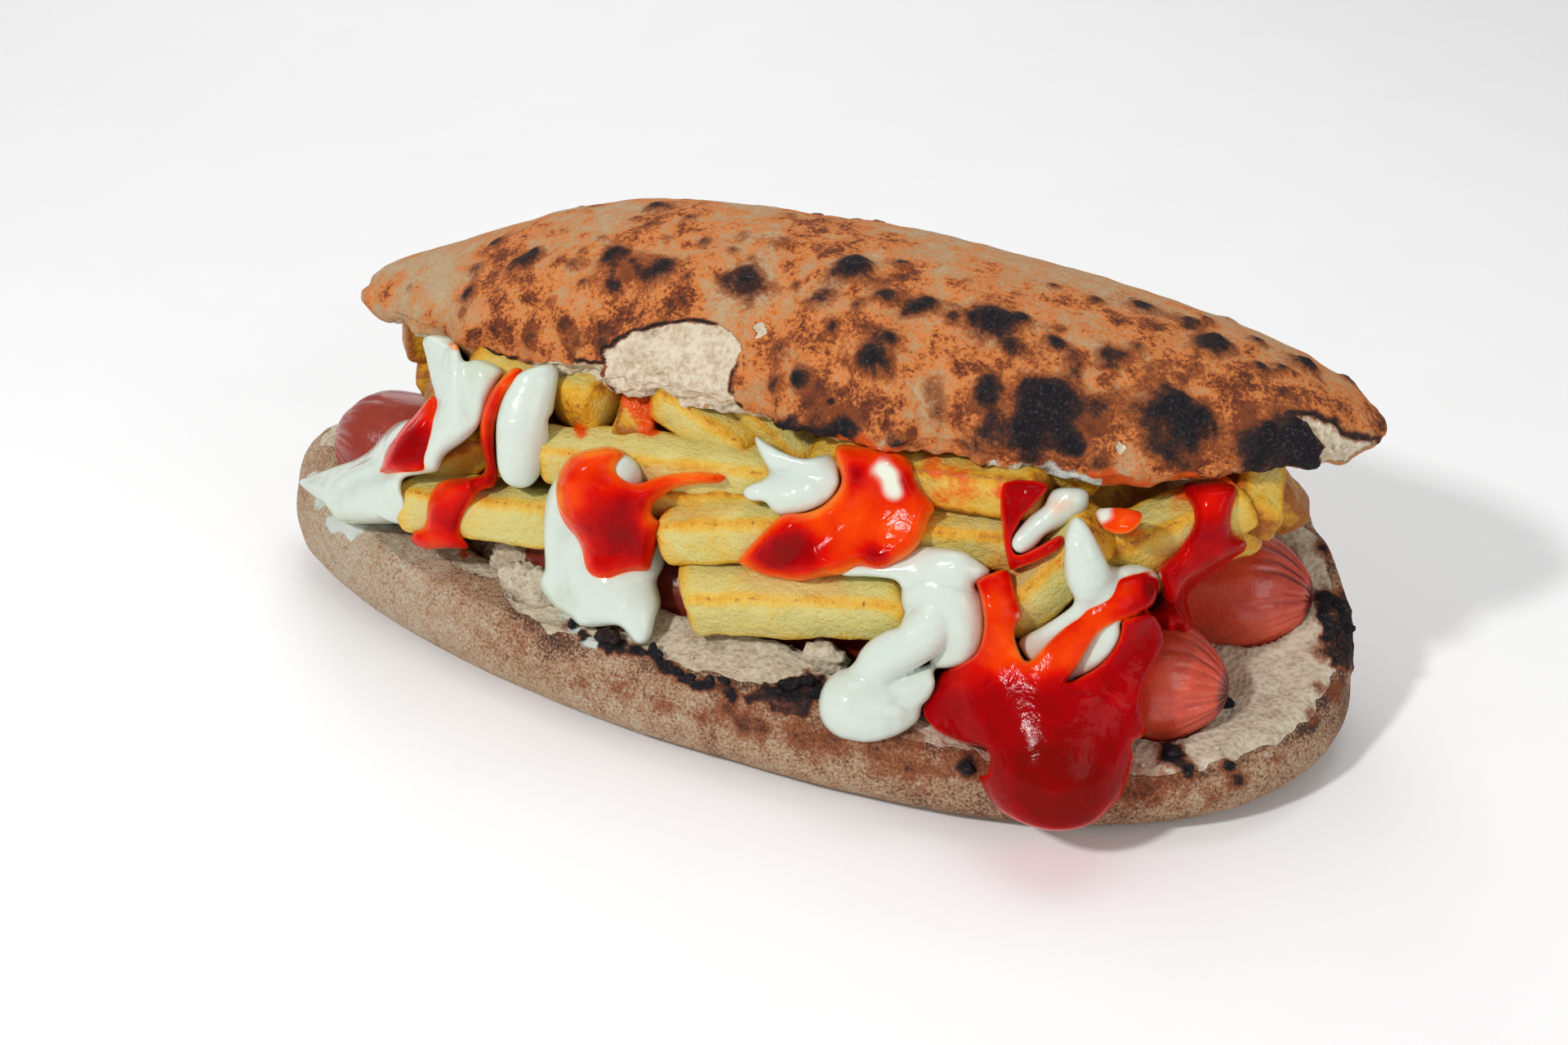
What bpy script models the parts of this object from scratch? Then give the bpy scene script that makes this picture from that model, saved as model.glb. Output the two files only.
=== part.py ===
"""Panuozzo: a baked pizza-dough roll, slit and filled.

Two frankfurters lie in the lower half, a heap of fries covers them, mayonnaise and
ketchup run over the open front side, and the upper half lies tilted on top.

X runs along the roll, -Y is the open front side and Z is up. The origin is the middle of
the roll's footprint, on the surface that it rests on. Sizes are in millimetres until MM
turns them into metres.
"""

import math

import bmesh
import bpy
import numpy as np
from mathutils import Matrix, Vector

MM = 0.001
GAP = 0.4
PLACE_ON_ORIGIN = (0.5, 4.2)

# Lower half: a boat of baked dough with a hollow for the filling
LOWER_CENTRE = (0.0, 2.5)
LOWER_HALF_LENGTH = 126.4
LOWER_HALF_WIDTH = 56.0
LOWER_TAPER = 0.17
LOWER_POINT_POWER = 1.75
LOWER_BLUNT_POWER = 2.7
LOWER_REAR_SHARE = 0.92
TROUGH_FLOOR = 17.0
# Each profile corner: its share of the way up the grid, and how far in from the outline
PROFILE_STOPS = (0.25, 0.30, 0.35, 0.40, 0.50, 0.55, 0.60, 0.65, 0.70, 0.80)
PROFILE_INSETS = (10.0, 4.5, 1.2, 0.0, 0.8, 2.6, 5.0, 11.5, 17.0, 22.0)
BELLY_HEIGHTS = (0.0, 2.4, 6.0, 11.0)
UPPER_BELLY_SHARE = 0.82
# Rim: plain height, then hills as angle in radians, width and height
RIM_HEIGHT = 23.0
RIM_HILLS = ((math.pi / 2, 1.1, 22.0), (-0.72, 0.36, -8.0), (0.42, 0.3, 9.0), (-0.2, 0.25, -2.0))
RIM_WAVES = 7
RIM_WAVE_HEIGHT = 1.2
# Crumb ledge inside the front rim: angle of its middle, width and height over the rim
LEDGE = (-1.45, 0.7, 4.2)
TIP_LIFT = 4.0
TIP_LIFT_WIDTH = 0.4

# Upper half: a thinner dome of baked dough, tilted towards the viewer's side
UPPER_CENTRE = (8.0, 13.0)
UPPER_HALF_LENGTH = 116.0
UPPER_HALF_WIDTH = 47.0
UPPER_TAPER = 0.12
UPPER_POINT_POWER = 1.8
UPPER_BLUNT_POWER = 2.4
UPPER_REAR_SHARE = 0.9
LIP_HEIGHT = 66.0
LIP_SIDE_SLOPE = 0.02
LIP_DEPTH_SLOPE = -0.16
LIP_REAR_SAG = 0.0085
DOME_HEIGHT = 32.5
DOME_FALL = 0.035
DOME_POWER = 2.3
DOME_ROUNDNESS = 0.62
UNDERSIDE_HOLLOW = 11.0
LIP_THICKNESS = 3.5
LIP_STOPS = (0.35, 0.40, 0.45, 0.50)
LIP_INSETS = (9.0, 5.0, 1.6, 0.0)
LIP_RISES = (1.5, 0.0, 0.8, LIP_THICKNESS)
# Waves of the lip's front line as height, turns to a millimetre and start; then one torn bay
LIP_WAVES = ((1.6, 0.13, 0.6), (1.0, 0.31, 0.0))
TORN_BAY = (-4.0, 22.0, 4.0)
# Swellings of the whole dome along x as place, width and share
DOME_SWELLINGS = ((-15.0, 50.0, 0.06), (-92.0, 30.0, -0.26))
# Blisters as x, y, radius and height
UPPER_BLISTERS = (
    (70, 0, 9, 2.2), (98, -2, 8, 2.0), (60, 24, 9, 2.0), (24, 18, 7, 1.6), (-10, 30, 8, 1.6),
    (-48, 22, 7, 1.4), (-70, 18, 7, 1.4), (104, 22, 7, 1.6), (20, 42, 8, 1.4), (84, 38, 8, 1.5),
)

# Frankfurters: left end, right end and radius
REAR_SAUSAGE = ((-114.0, 2.0, 31.0), (114.0, 11.0, 30.5), 13.4)
FRONT_SAUSAGE = ((-54.0, -22.0, 24.6), (103.0, -22.0, 25.5), 12.8)

# Heap of fries: a plain core, and the fries that show as end, end and thickness
HEAP_CENTRE = (1.0, 3.0, 49.0)
HEAP_HALF_SIZES = (93.0, 34.0, 33.0)
HEAP_SQUARENESS = 0.62
HEAP_LEAN = 0.38
HEAP_LEAN_START = 45.0
HEAP_TRIANGLES = 1800
FRIES = (
    ((-79, -30, 37), (-36, -31, 42), 13.5),
    ((-7, -40, 34), (42, -39, 42), 14.5),
    ((-13, -35, 46), (20, -33, 53), 13.5),
    ((-22, -30, 51), (10, -28, 57), 11.5),
    ((-44, -31, 57), (10, -29, 60), 11.5),
    ((-39, -27, 65), (-35, -1, 71), 13.0),
    ((-23, -24, 62), (-26, -7, 78), 9.5),
    ((-20, -23, 72), (2, -23, 61), 10.5),
    ((-6, -17, 76), (16, -23, 61), 9.0),
    ((34, -32, 54), (64, -30, 57), 12.0),
    ((34, -30, 66), (66, -29, 68), 11.0),
    ((60, -35, 42), (78, -32, 65), 12.5),
    ((70, -31, 51), (102, -15, 67), 13.0),
    ((106, -17, 61), (102, 4, 76), 11.0),
    ((100, 4, 66), (111, 8, 50), 10.0),
    ((-86, -4, 72), (-92, 5, 56), 10.0),
    ((-74, -24, 43), (-58, -22, 53), 10.0),
    ((-86, -14, 50), (-58, -22, 61), 11.0),
    ((-64, -20, 70), (-46, -20, 66), 11.0),
    ((18, -28, 62), (36, -24, 74), 11.0),
    ((84, -26, 42), (58, -28, 46), 12.0),
    ((52, -24, 76), (76, -20, 70), 11.0),
    ((82, -10, 43), (103, 1, 54), 12.0),
)

# Sauces: strands of x, y, z and radius, laid over the filling in this order
MAYONNAISE = {
    "mayo_left_end": (
        ((-77, -15, 70, 4.5), (-71, -22, 64, 4.5), (-70, -24, 56, 4.8), (-73, -28, 47, 4.5)),
        ((-62, -22, 72, 4.0), (-60, -25, 66, 4.5), (-64, -27, 57, 4.0), (-69, -28, 51, 3.2)),
        ((-72, -25, 52, 4.5), (-82, -20, 44, 4.5), (-91, -14, 38, 5.0), (-100, -13, 33, 4.6),
         (-108, -12, 29, 4.0), (-116, -8, 26, 2.5)),
        ((-86, -20, 36, 4.5), (-96, -18, 31, 5.5), (-104, -16, 27, 4.2)),
    ),
    "mayo_drip": (
        ((-46, -27, 71, 5.0), (-47, -32, 63, 5.8), (-48, -34, 55, 5.6), (-50, -33, 48, 3.8)),
    ),
    "mayo_drape": (
        ((-26, -37, 58, 5.0), (-35, -34, 46, 5.0), (-38, -34, 34, 5.0), (-35, -36, 25, 5.0)),
        ((-26, -37, 58, 5.0), (-27, -31, 41, 8.6), (-24, -36, 31, 8.4), (-17, -42, 27.5, 4.0),
         (-15, -44, 26, 2.4)),
        ((-42, -35, 28, 2.2), (-37, -38, 25, 3.0), (-28, -41, 26, 3.6)),
    ),
    "mayo_swirl": (
        ((3, -31, 69, 1.6), (10, -32, 67, 2.8), (17, -32, 67, 2.8), (22, -32, 64, 3.2)),
        ((5, -35, 61, 2.4), (11, -35, 59, 4.0), (17, -34, 60, 5.0), (23, -32, 63, 3.6)),
    ),
    "mayo_patch": (
        ((28, -39, 47, 2.2), (36, -39, 49, 3.0), (45, -38, 50, 3.4), (51, -38, 52, 3.2),
         (56, -35, 50, 2.2)),
    ),
    "mayo_squiggle": (
        ((46, -38, 47, 3.6), (45.5, -41, 43, 4.9), (42, -44, 36, 5.1), (38.5, -46, 30, 4.7),
         (40.5, -47.5, 27, 3.7), (45, -47, 28, 3.2), (48, -45, 30, 2.2)),
        ((35.5, -51, 25, 7.0), (42, -50.5, 23, 4.8), (46, -47, 23, 2.6)),
        ((48, -37, 47, 3.6), (53, -39, 44, 4.2), (55, -40, 37.5, 4.0), (51, -41, 33, 2.6)),
        ((49, -39, 44, 3.8), (48.5, -41, 38, 4.0), (46, -42, 33, 3.2)),
    ),
    "mayo_peak": (
        ((74.5, -39, 68, 1.0), (76, -41, 64.5, 2.7), (77.5, -41, 59, 3.8), (77, -40, 53, 3.2)),
        ((76, -40, 51, 3.0), (70, -37, 41, 2.6), (66.5, -38, 37.5, 1.6)),
        ((80, -38, 55, 3.2), (82.5, -37, 48, 3.0), (81, -37, 42, 3.0), (77, -39, 35.5, 2.0)),
        ((78.5, -38, 56, 2.4), (83.5, -35, 56.5, 2.0), (87.5, -31, 53.5, 2.0)),
    ),
    "mayo_hook": (
        ((71, -31, 68.5, 2.9), (68.5, -33, 65.5, 2.4), (65, -35, 62, 2.3), (63, -37, 60, 1.6)),
    ),
}
KETCHUP = {
    "ketchup_left_stripe": (
        ((-75, -26, 59, 2.5), (-79, -28, 50, 4.5), (-86, -25, 41, 5.2)),
    ),
    "ketchup_left_spill": (
        ((-52, -30, 71, 2.2), (-58, -31, 65, 2.4), (-59, -32, 58, 2.5), (-59, -33, 51, 2.8),
         (-61, -36, 47, 3.4), (-63, -38, 43, 4.6), (-64, -39, 38, 4.8), (-67, -37, 30, 4.2),
         (-75, -33, 26, 3.0)),
    ),
    "ketchup_heart": (
        ((-28, -40, 62, 4.2), (-28, -38, 54, 7.3), (-26, -39, 46, 7.6), (-25, -39, 39, 6.2),
         (-24, -40, 35, 4.6)),
        ((-22, -39, 50, 5.2), (-17, -38, 56, 3.4), (-10, -38, 60, 2.2), (-2, -38, 61, 1.5)),
    ),
    "ketchup_centre": (
        ((30, -32, 71, 4.0), (29, -35, 65, 5.2), (25, -37, 56, 6.7), (19, -42, 50, 6.0),
         (11, -42, 46, 3.8)),
        ((32, -33, 70, 4.4), (38, -36, 67, 4.6), (40, -38, 63, 4.8), (41, -40, 58, 5.0),
         (38, -41, 52, 4.3)),
        ((25, -37, 56, 6.7), (32, -38, 55, 6.8), (39, -40, 56, 5.0)),
    ),
    "ketchup_pool": (
        ((59, -39, 51, 3.2), (60.5, -42, 47, 4.2), (61.5, -41, 38, 5.0), (65, -40, 30, 6.0)),
        ((87, -32, 52, 2.6), (83, -36, 51, 3.8), (79, -39, 46, 3.8), (73.5, -40, 38, 4.2),
         (68, -40, 29, 6.0)),
        ((53, -43, 23, 5.4), (62, -42, 26, 8.0), (73, -41, 28, 8.4), (81.5, -39, 31, 7.2),
         (86, -37, 38, 5.8), (88, -33, 42.5, 3.9)),
        ((82, -39, 30, 6.0), (87, -40, 29, 5.0), (89, -41, 27, 2.8)),
        ((68, -44, 24, 8.5), (74, -48, 20.5, 12.5), (76.5, -50, 18.5, 12.4)),
    ),
    "ketchup_right_run": (
        ((96, -23, 71, 5.4), (98, -26, 66, 4.9), (97, -24, 59.5, 5.4), (93, -15, 49, 5.8),
         (90, -14, 41, 5.4), (90, -17, 38, 3.6)),
        ((100, -9, 53, 3.0), (97, -10, 49, 4.2), (93, -8, 40, 4.6), (91, -8, 32, 3.6)),
    ),
    "ketchup_dab": (
        ((78, -35, 66, 1.9), (82, -37, 67, 2.8), (86, -38, 68, 2.3)),
    ),
    "ketchup_inner": (
        ((63, -34, 71, 3.4), (62, -34, 63, 2.6), (63, -36, 57, 2.2), (69.5, -38, 60.5, 1.9)),
    ),
}
SAUCE_STEP = 1.6
SAUCE_VOXEL = 1.1
SAUCE_TRIANGLES_PER_AREA = 0.11


def bump(angles, at, width):
    """Return a smooth hill of height 1 round one angle, given in radians."""
    turned = (angles - at + math.pi) % (2 * math.pi) - math.pi
    return np.exp(-((turned / width) ** 2))


def leaf_outline(angles, centre, half_length, half_width, taper, powers, rear_share):
    """Return x and y of a leaf that is pointed on its left and blunt on its right."""
    along = np.cos(angles)
    side = np.sin(angles)
    power = np.where(along < 0, powers[0], powers[1])
    half = half_width * (1 + taper * along) * np.sqrt(1 - np.minimum(np.abs(along), 1) ** power)
    half = half * np.where(side < 0, 1.0, rear_share)
    return centre[0] + half_length * along, centre[1] + np.sign(side) * half


def lower_outline(angles):
    """Return the lower half's widest line, seen from above."""
    return leaf_outline(angles, LOWER_CENTRE, LOWER_HALF_LENGTH, LOWER_HALF_WIDTH, LOWER_TAPER,
                        (LOWER_POINT_POWER, LOWER_BLUNT_POWER), LOWER_REAR_SHARE)


def upper_outline(angles):
    """Return the upper half's lip, seen from above, with its ragged front."""
    x, y = leaf_outline(angles, UPPER_CENTRE, UPPER_HALF_LENGTH, UPPER_HALF_WIDTH, UPPER_TAPER,
                        (UPPER_POINT_POWER, UPPER_BLUNT_POWER), UPPER_REAR_SHARE)
    front = np.clip(-np.sin(angles), 0, 1)
    ragged = sum(height * np.sin(turns * x + start) for height, turns, start in LIP_WAVES)
    bay_x, bay_width, bay_depth = TORN_BAY
    torn = bay_depth * np.exp(-(((x - bay_x) / bay_width) ** 2))
    return x, y + front * (ragged + torn)


def rim_height(angles):
    """Return the height of the lower half's rim: high behind, low where sauce runs over."""
    height = RIM_HEIGHT + RIM_WAVE_HEIGHT * np.sin(RIM_WAVES * angles) * (np.sin(angles) < 0)
    for at, width, rise in RIM_HILLS:
        height = height + rise * bump(angles, at, width)
    return height


def lip_plane(x, y):
    """Return the height of the upper half's lip over a point."""
    depth = y - UPPER_CENTRE[1]
    return (LIP_HEIGHT + LIP_SIDE_SLOPE * x + LIP_DEPTH_SLOPE * depth
            - LIP_REAR_SAG * np.clip(depth, 0, None) ** 2)


def blisters(x, y, spots):
    """Return the height that round baked blisters add over a point."""
    height = np.zeros_like(x)
    for spot_x, spot_y, radius, rise in spots:
        height = height + rise * np.exp(-((x - spot_x) ** 2 + (y - spot_y) ** 2) / radius ** 2)
    return height


def sphere_grid(columns, rings):
    """Return a sphere's bmesh with each corner's angle and its share of the way up."""
    grid = bmesh.new()
    bmesh.ops.create_uvsphere(grid, u_segments=columns, v_segments=rings, radius=1.0)
    corners = np.array([corner.co for corner in grid.verts])
    angles = np.arctan2(corners[:, 1], corners[:, 0])
    angles = angles + 0.12 * np.sin(2 * angles)
    share = 0.5 + np.arcsin(np.clip(corners[:, 2], -1, 1)) / math.pi
    return grid, angles, share


def inset_scale(x, y, centre, inset):
    """Return the scale about the centre that moves an outline point in by a distance."""
    reach = np.hypot(x - centre[0], y - centre[1])
    flank = np.clip(np.abs(y - centre[1]) / 40.0, 0.35, 1.0)
    return 1 - inset / np.maximum(reach * 0.5 + 28.0 * flank, 30.0)


def place(grid, x, y, z):
    """Move a bmesh's corners to x, y and z, given in millimetres."""
    for corner, cx, cy, cz in zip(grid.verts, x, y, z):
        corner.co = Vector((cx, cy, cz)) * MM


def lower_half_mesh():
    """Return the lower half: base, belly, rim, crumb ledge and trough floor."""
    grid, angles, share = sphere_grid(56, 20)
    edge_x, edge_y = lower_outline(angles)
    rim = rim_height(angles)
    ledge_at, ledge_width, ledge_rise = LEDGE
    ledge = rim + ledge_rise * bump(angles, ledge_at, ledge_width)
    levels = [height + 0 * rim for height in BELLY_HEIGHTS]
    levels += [UPPER_BELLY_SHARE * rim, rim - 0.8, rim, (rim + ledge) / 2, ledge - 1.0,
               TROUGH_FLOOR + 0 * rim]
    first, last = PROFILE_STOPS[0], PROFILE_STOPS[-1]
    level = np.where(share > last, TROUGH_FLOOR, 0 * rim)
    for low, high, below, above in zip(PROFILE_STOPS, PROFILE_STOPS[1:], levels, levels[1:]):
        between = (share > low) & (share <= high)
        level = np.where(between, below + (above - below) * (share - low) / (high - low), level)
    inset = np.interp(share, PROFILE_STOPS, PROFILE_INSETS)
    shrink = inset_scale(edge_x, edge_y, LOWER_CENTRE, inset)
    shrink = shrink * np.clip(share / first, 0, 1) * np.clip((1 - share) / (1 - last), 0, 1)
    tip_lift = TIP_LIFT * bump(angles, math.pi, TIP_LIFT_WIDTH) * np.clip((share - first) / 0.1, 0, 1)
    x = LOWER_CENTRE[0] + (edge_x - LOWER_CENTRE[0]) * shrink
    y = LOWER_CENTRE[1] + (edge_y - LOWER_CENTRE[1]) * shrink
    place(grid, x, y, level + tip_lift * (share < last))
    return grid


def upper_half_mesh():
    """Return the upper half: hollow underside, torn lip and blistered dome."""
    grid, angles, share = sphere_grid(56, 20)
    edge_x, edge_y = upper_outline(angles)
    first, last = LIP_STOPS[0], LIP_STOPS[-1]
    inset = np.interp(share, LIP_STOPS, LIP_INSETS)
    shrink = inset_scale(edge_x, edge_y, UPPER_CENTRE, inset)
    under = np.clip(share / first, 0, 1)
    over = np.clip((1 - share) / (1 - last), 0, 1)
    shrink = shrink * under * np.sin(over * math.pi / 2)
    x = UPPER_CENTRE[0] + (edge_x - UPPER_CENTRE[0]) * shrink
    y = UPPER_CENTRE[1] + (edge_y - UPPER_CENTRE[1]) * shrink
    lip = lip_plane(x, y)
    hollow = UNDERSIDE_HOLLOW * (1 - under ** 2)
    lip_round = np.interp(share, LIP_STOPS, LIP_RISES)
    full = 1 + sum(part * np.exp(-((x - at) / width) ** 2) for at, width, part in DOME_SWELLINGS)
    dome = (DOME_HEIGHT - DOME_FALL * x) * full
    dome = dome * np.clip(1 - np.abs(shrink) ** DOME_POWER, 0, 1) ** DOME_ROUNDNESS
    crust = LIP_THICKNESS + dome * (1 - LIP_THICKNESS / DOME_HEIGHT)
    crust = crust + blisters(x, y, UPPER_BLISTERS)
    rise = np.where(share < first, hollow + LIP_RISES[0], np.where(share < last, lip_round, crust))
    place(grid, x, y, lip + rise)
    return grid


def finish(name, red, green, blue, roughness):
    """Return a material with one colour and one roughness."""
    material = bpy.data.materials.new(name)
    material.use_nodes = True
    shader = material.node_tree.nodes["Principled BSDF"]
    shader.inputs["Base Color"].default_value = (red, green, blue, 1.0)
    shader.inputs["Roughness"].default_value = roughness
    shader.inputs["Metallic"].default_value = 0.0
    return material


def add_object(name, grid, material, collection):
    """Turn a bmesh into a named, smooth object in a collection."""
    mesh = bpy.data.meshes.new(name)
    grid.to_mesh(mesh)
    grid.free()
    mesh.shade_smooth()
    mesh.materials.append(material)
    piece = bpy.data.objects.new(name, mesh)
    collection.objects.link(piece)
    return piece


def apply_modifiers(piece):
    """Replace an object's mesh by what its modifiers make of it."""
    bpy.context.view_layer.update()
    evaluated = piece.evaluated_get(bpy.context.evaluated_depsgraph_get())
    mesh = bpy.data.meshes.new_from_object(evaluated)
    piece.modifiers.clear()
    old = piece.data
    piece.data = mesh
    bpy.data.meshes.remove(old)


def swollen_copy(piece, guides):
    """Return a hidden copy of an object, larger by the gap that its neighbours keep."""
    copy = bpy.data.objects.new(piece.name + "_cutter", piece.data.copy())
    guides.objects.link(copy)
    swell = copy.modifiers.new("swell", "DISPLACE")
    swell.strength = GAP * MM
    swell.mid_level = 0.0
    apply_modifiers(copy)
    copy.hide_render = True
    copy.display_type = "WIRE"
    return copy


def keep_largest_body(piece):
    """Drop the loose scraps that a cut leaves beside the main body."""
    grid = bmesh.new()
    grid.from_mesh(piece.data)
    unseen = set(grid.verts)
    bodies = []
    while unseen:
        front = [unseen.pop()]
        body = set(front)
        while front:
            for edge in front.pop().link_edges:
                for corner in edge.verts:
                    if corner in unseen:
                        unseen.remove(corner)
                        body.add(corner)
                        front.append(corner)
        bodies.append(body)
    bodies.sort(key=len, reverse=True)
    for scrap in bodies[1:]:
        bmesh.ops.delete(grid, geom=list(scrap), context="VERTS")
    grid.to_mesh(piece.data)
    grid.free()


def thin_out(piece, triangles):
    """Merge an object's smallest faces until about so many triangles are left."""
    piece.data.calc_loop_triangles()
    coarse = piece.modifiers.new("coarse", "DECIMATE")
    coarse.ratio = min(1.0, triangles / len(piece.data.loop_triangles))
    apply_modifiers(piece)


def cut_by(piece, cutters, solver="EXACT"):
    """Cut an object by each of the cutters and keep its main body."""
    for cutter in cutters:
        cut = piece.modifiers.new("cut", "BOOLEAN")
        cut.operation = "DIFFERENCE"
        cut.solver = solver
        cut.object = cutter
        apply_modifiers(piece)
    keep_largest_body(piece)


def add_sausage(name, start, end, radius, material, collection):
    """Add a frankfurter: a round rod with domed ends, laid from end to end."""
    start, end = Vector(start), Vector(end)
    axis = end - start
    grid = bmesh.new()
    bmesh.ops.create_uvsphere(grid, u_segments=20, v_segments=12, radius=1.0)
    straight = axis.length / 2 - radius
    for corner in grid.verts:
        middle_ring = abs(corner.co.z) < 1e-4
        push = 0.0 if middle_ring else math.copysign(straight, corner.co.z)
        corner.co = (corner.co * radius + Vector((0, 0, push))) * MM
    piece = add_object(name, grid, material, collection)
    piece.location = (start + end) / 2 * MM
    piece.rotation_mode = "QUATERNION"
    piece.rotation_quaternion = axis.to_track_quat("Z", "Y")
    return piece


def bake_placement(piece):
    """Move an object's location and rotation into its mesh."""
    bpy.context.view_layer.update()
    piece.data.transform(piece.matrix_world)
    piece.matrix_world = Matrix.Identity(4)


def add_fry(index, start, end, thickness, material, collection):
    """Add one fry: a bar of potato with softened edges."""
    start, end = Vector(start), Vector(end)
    axis = end - start
    bar = bmesh.new()
    bmesh.ops.create_cube(bar, size=1.0)
    bmesh.ops.scale(bar, verts=bar.verts,
                    vec=(thickness * MM, thickness * 0.94 * MM, axis.length * MM))
    fry = add_object(f"fry_{index:02d}", bar, material, collection)
    soften = fry.modifiers.new("soften", "BEVEL")
    soften.width = thickness * 0.24 * MM
    soften.segments = 1
    apply_modifiers(fry)
    fry.location = (start + end) / 2 * MM
    fry.rotation_mode = "QUATERNION"
    roll = Matrix.Rotation(math.radians(37 * index % 23), 3, "Z").to_quaternion()
    fry.rotation_quaternion = axis.to_track_quat("Z", "Y") @ roll
    bake_placement(fry)
    return fry


def add_heap(material, collection, workshop):
    """Add the heap of fries: its core with the fries that show joined on."""
    core = bmesh.new()
    bmesh.ops.create_uvsphere(core, u_segments=28, v_segments=12, radius=1.0)
    for corner in core.verts:
        corner.co = Vector(math.copysign(abs(value) ** HEAP_SQUARENESS, value)
                           for value in corner.co)
    bmesh.ops.scale(core, verts=core.verts, vec=Vector(HEAP_HALF_SIZES) * MM)
    bmesh.ops.translate(core, verts=core.verts, vec=Vector(HEAP_CENTRE) * MM)
    for corner in core.verts:
        corner.co.y += HEAP_LEAN * max(0.0, corner.co.z - HEAP_LEAN_START * MM)
    heap = add_object("fries", core, material, collection)
    for index, (start, end, thickness) in enumerate(FRIES):
        add_fry(index, start, end, thickness, material, workshop)
    join = heap.modifiers.new("join", "BOOLEAN")
    join.operation = "UNION"
    join.operand_type = "COLLECTION"
    join.collection = workshop
    join.solver = "EXACT"
    apply_modifiers(heap)
    thin_out(heap, HEAP_TRIANGLES)
    for fry in list(workshop.objects):
        bpy.data.objects.remove(fry)
    return heap


def along_strand(strand):
    """Return spheres' centres and radii close together along a smooth strand."""
    points = np.array([strand[0], *strand, strand[-1]], dtype=float)
    balls = []
    for before, start, end, after in zip(points, points[1:], points[2:], points[3:]):
        count = max(2, int(np.linalg.norm(end[:3] - start[:3]) / SAUCE_STEP))
        for part in np.linspace(0, 1, count, endpoint=False):
            balls.append(0.5 * (2 * start + (end - before) * part
                                + (2 * before - 5 * start + 4 * end - after) * part ** 2
                                + (3 * start - before - 3 * end + after) * part ** 3))
    balls.append(points[-1])
    return balls


def add_sauce(name, strands, material, collection, cutters):
    """Add a sauce: rounded strands flowed together, laid against what they cover."""
    flow = bmesh.new()
    for strand in strands:
        for x, y, z, radius in along_strand(strand):
            bmesh.ops.create_uvsphere(flow, u_segments=12, v_segments=8, radius=radius * MM,
                                      matrix=Matrix.Translation(Vector((x, y, z)) * MM))
    sauce = add_object(name, flow, material, collection)
    merge = sauce.modifiers.new("merge", "REMESH")
    merge.mode = "VOXEL"
    merge.voxel_size = SAUCE_VOXEL * MM
    even = sauce.modifiers.new("even", "SMOOTH")
    even.factor = 0.5
    even.iterations = 3
    apply_modifiers(sauce)
    area = sum(face.area for face in sauce.data.polygons) / MM ** 2
    thin_out(sauce, area * SAUCE_TRIANGLES_PER_AREA)
    near = [cutter for cutter in cutters if boxes_meet(sauce, cutter)]
    cut_by(sauce, near, solver="MANIFOLD")
    sauce.data.shade_smooth()
    return sauce


def boxes_meet(one, other):
    """Return whether two objects' boxes overlap."""
    lows, highs = [], []
    for piece in (one, other):
        corners = np.array([corner.co for corner in piece.data.vertices])
        lows.append(corners.min(axis=0))
        highs.append(corners.max(axis=0))
    return bool(np.all(np.maximum(*lows) < np.minimum(*highs)))


def build():
    """Build the whole panuozzo."""
    for old in list(bpy.data.objects):
        bpy.data.objects.remove(old)
    food = bpy.data.collections.new("panuozzo")
    guides = bpy.data.collections.new("cutters")
    workshop = bpy.data.collections.new("fries_to_join")
    for collection in (food, guides, workshop):
        bpy.context.scene.collection.children.link(collection)

    crust = finish("crust", 0.46, 0.27, 0.14, 0.85)
    pale_crust = finish("pale_crust", 0.50, 0.38, 0.27, 0.9)
    skin = finish("frankfurter_skin", 0.62, 0.17, 0.12, 0.35)
    potato = finish("fried_potato", 0.83, 0.58, 0.16, 0.5)

    lower = add_object("bread_bottom", lower_half_mesh(), pale_crust, food)
    upper = add_object("bread_top", upper_half_mesh(), crust, food)
    rear = add_sausage("sausage_rear", *REAR_SAUSAGE, skin, food)
    front = add_sausage("sausage_front", *FRONT_SAUSAGE, skin, food)
    for sausage in (rear, front):
        bake_placement(sausage)
    sausage_cutters = [swollen_copy(sausage, guides) for sausage in (rear, front)]
    cut_by(lower, sausage_cutters)
    heap = add_heap(potato, food, workshop)
    cutters = sausage_cutters + [swollen_copy(half, guides) for half in (lower, upper)]
    cut_by(heap, cutters)

    mayonnaise = finish("mayonnaise", 0.86, 0.84, 0.66, 0.25)
    ketchup = finish("ketchup", 0.55, 0.02, 0.01, 0.2)
    cutters.append(swollen_copy(heap, guides))
    for material, sauces in ((mayonnaise, MAYONNAISE), (ketchup, KETCHUP)):
        for name, strands in sauces.items():
            sauce = add_sauce(name, strands, material, food, cutters)
            cutters.append(swollen_copy(sauce, guides))

    centre = bpy.data.objects.new("panuozzo_centre", None)
    centre.location = (*(offset * MM for offset in PLACE_ON_ORIGIN), 0.0)
    food.objects.link(centre)
    for piece in list(food.objects) + list(guides.objects):
        if piece is not centre:
            piece.parent = centre


build()
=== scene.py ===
"""Looks of a panuozzo: baked crust, fries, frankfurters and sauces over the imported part.

Lengths are in millimetres in the part's working frame until a mesh is written. Then
PLACE_ON_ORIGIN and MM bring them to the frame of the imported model. X runs along the roll,
-Y is the open front side and Z is up.
"""

import logging
import math
from collections.abc import Callable
from dataclasses import dataclass, field
from enum import Enum
from typing import Protocol

import bpy
import numpy as np
from mathutils import Matrix, Vector


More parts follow.
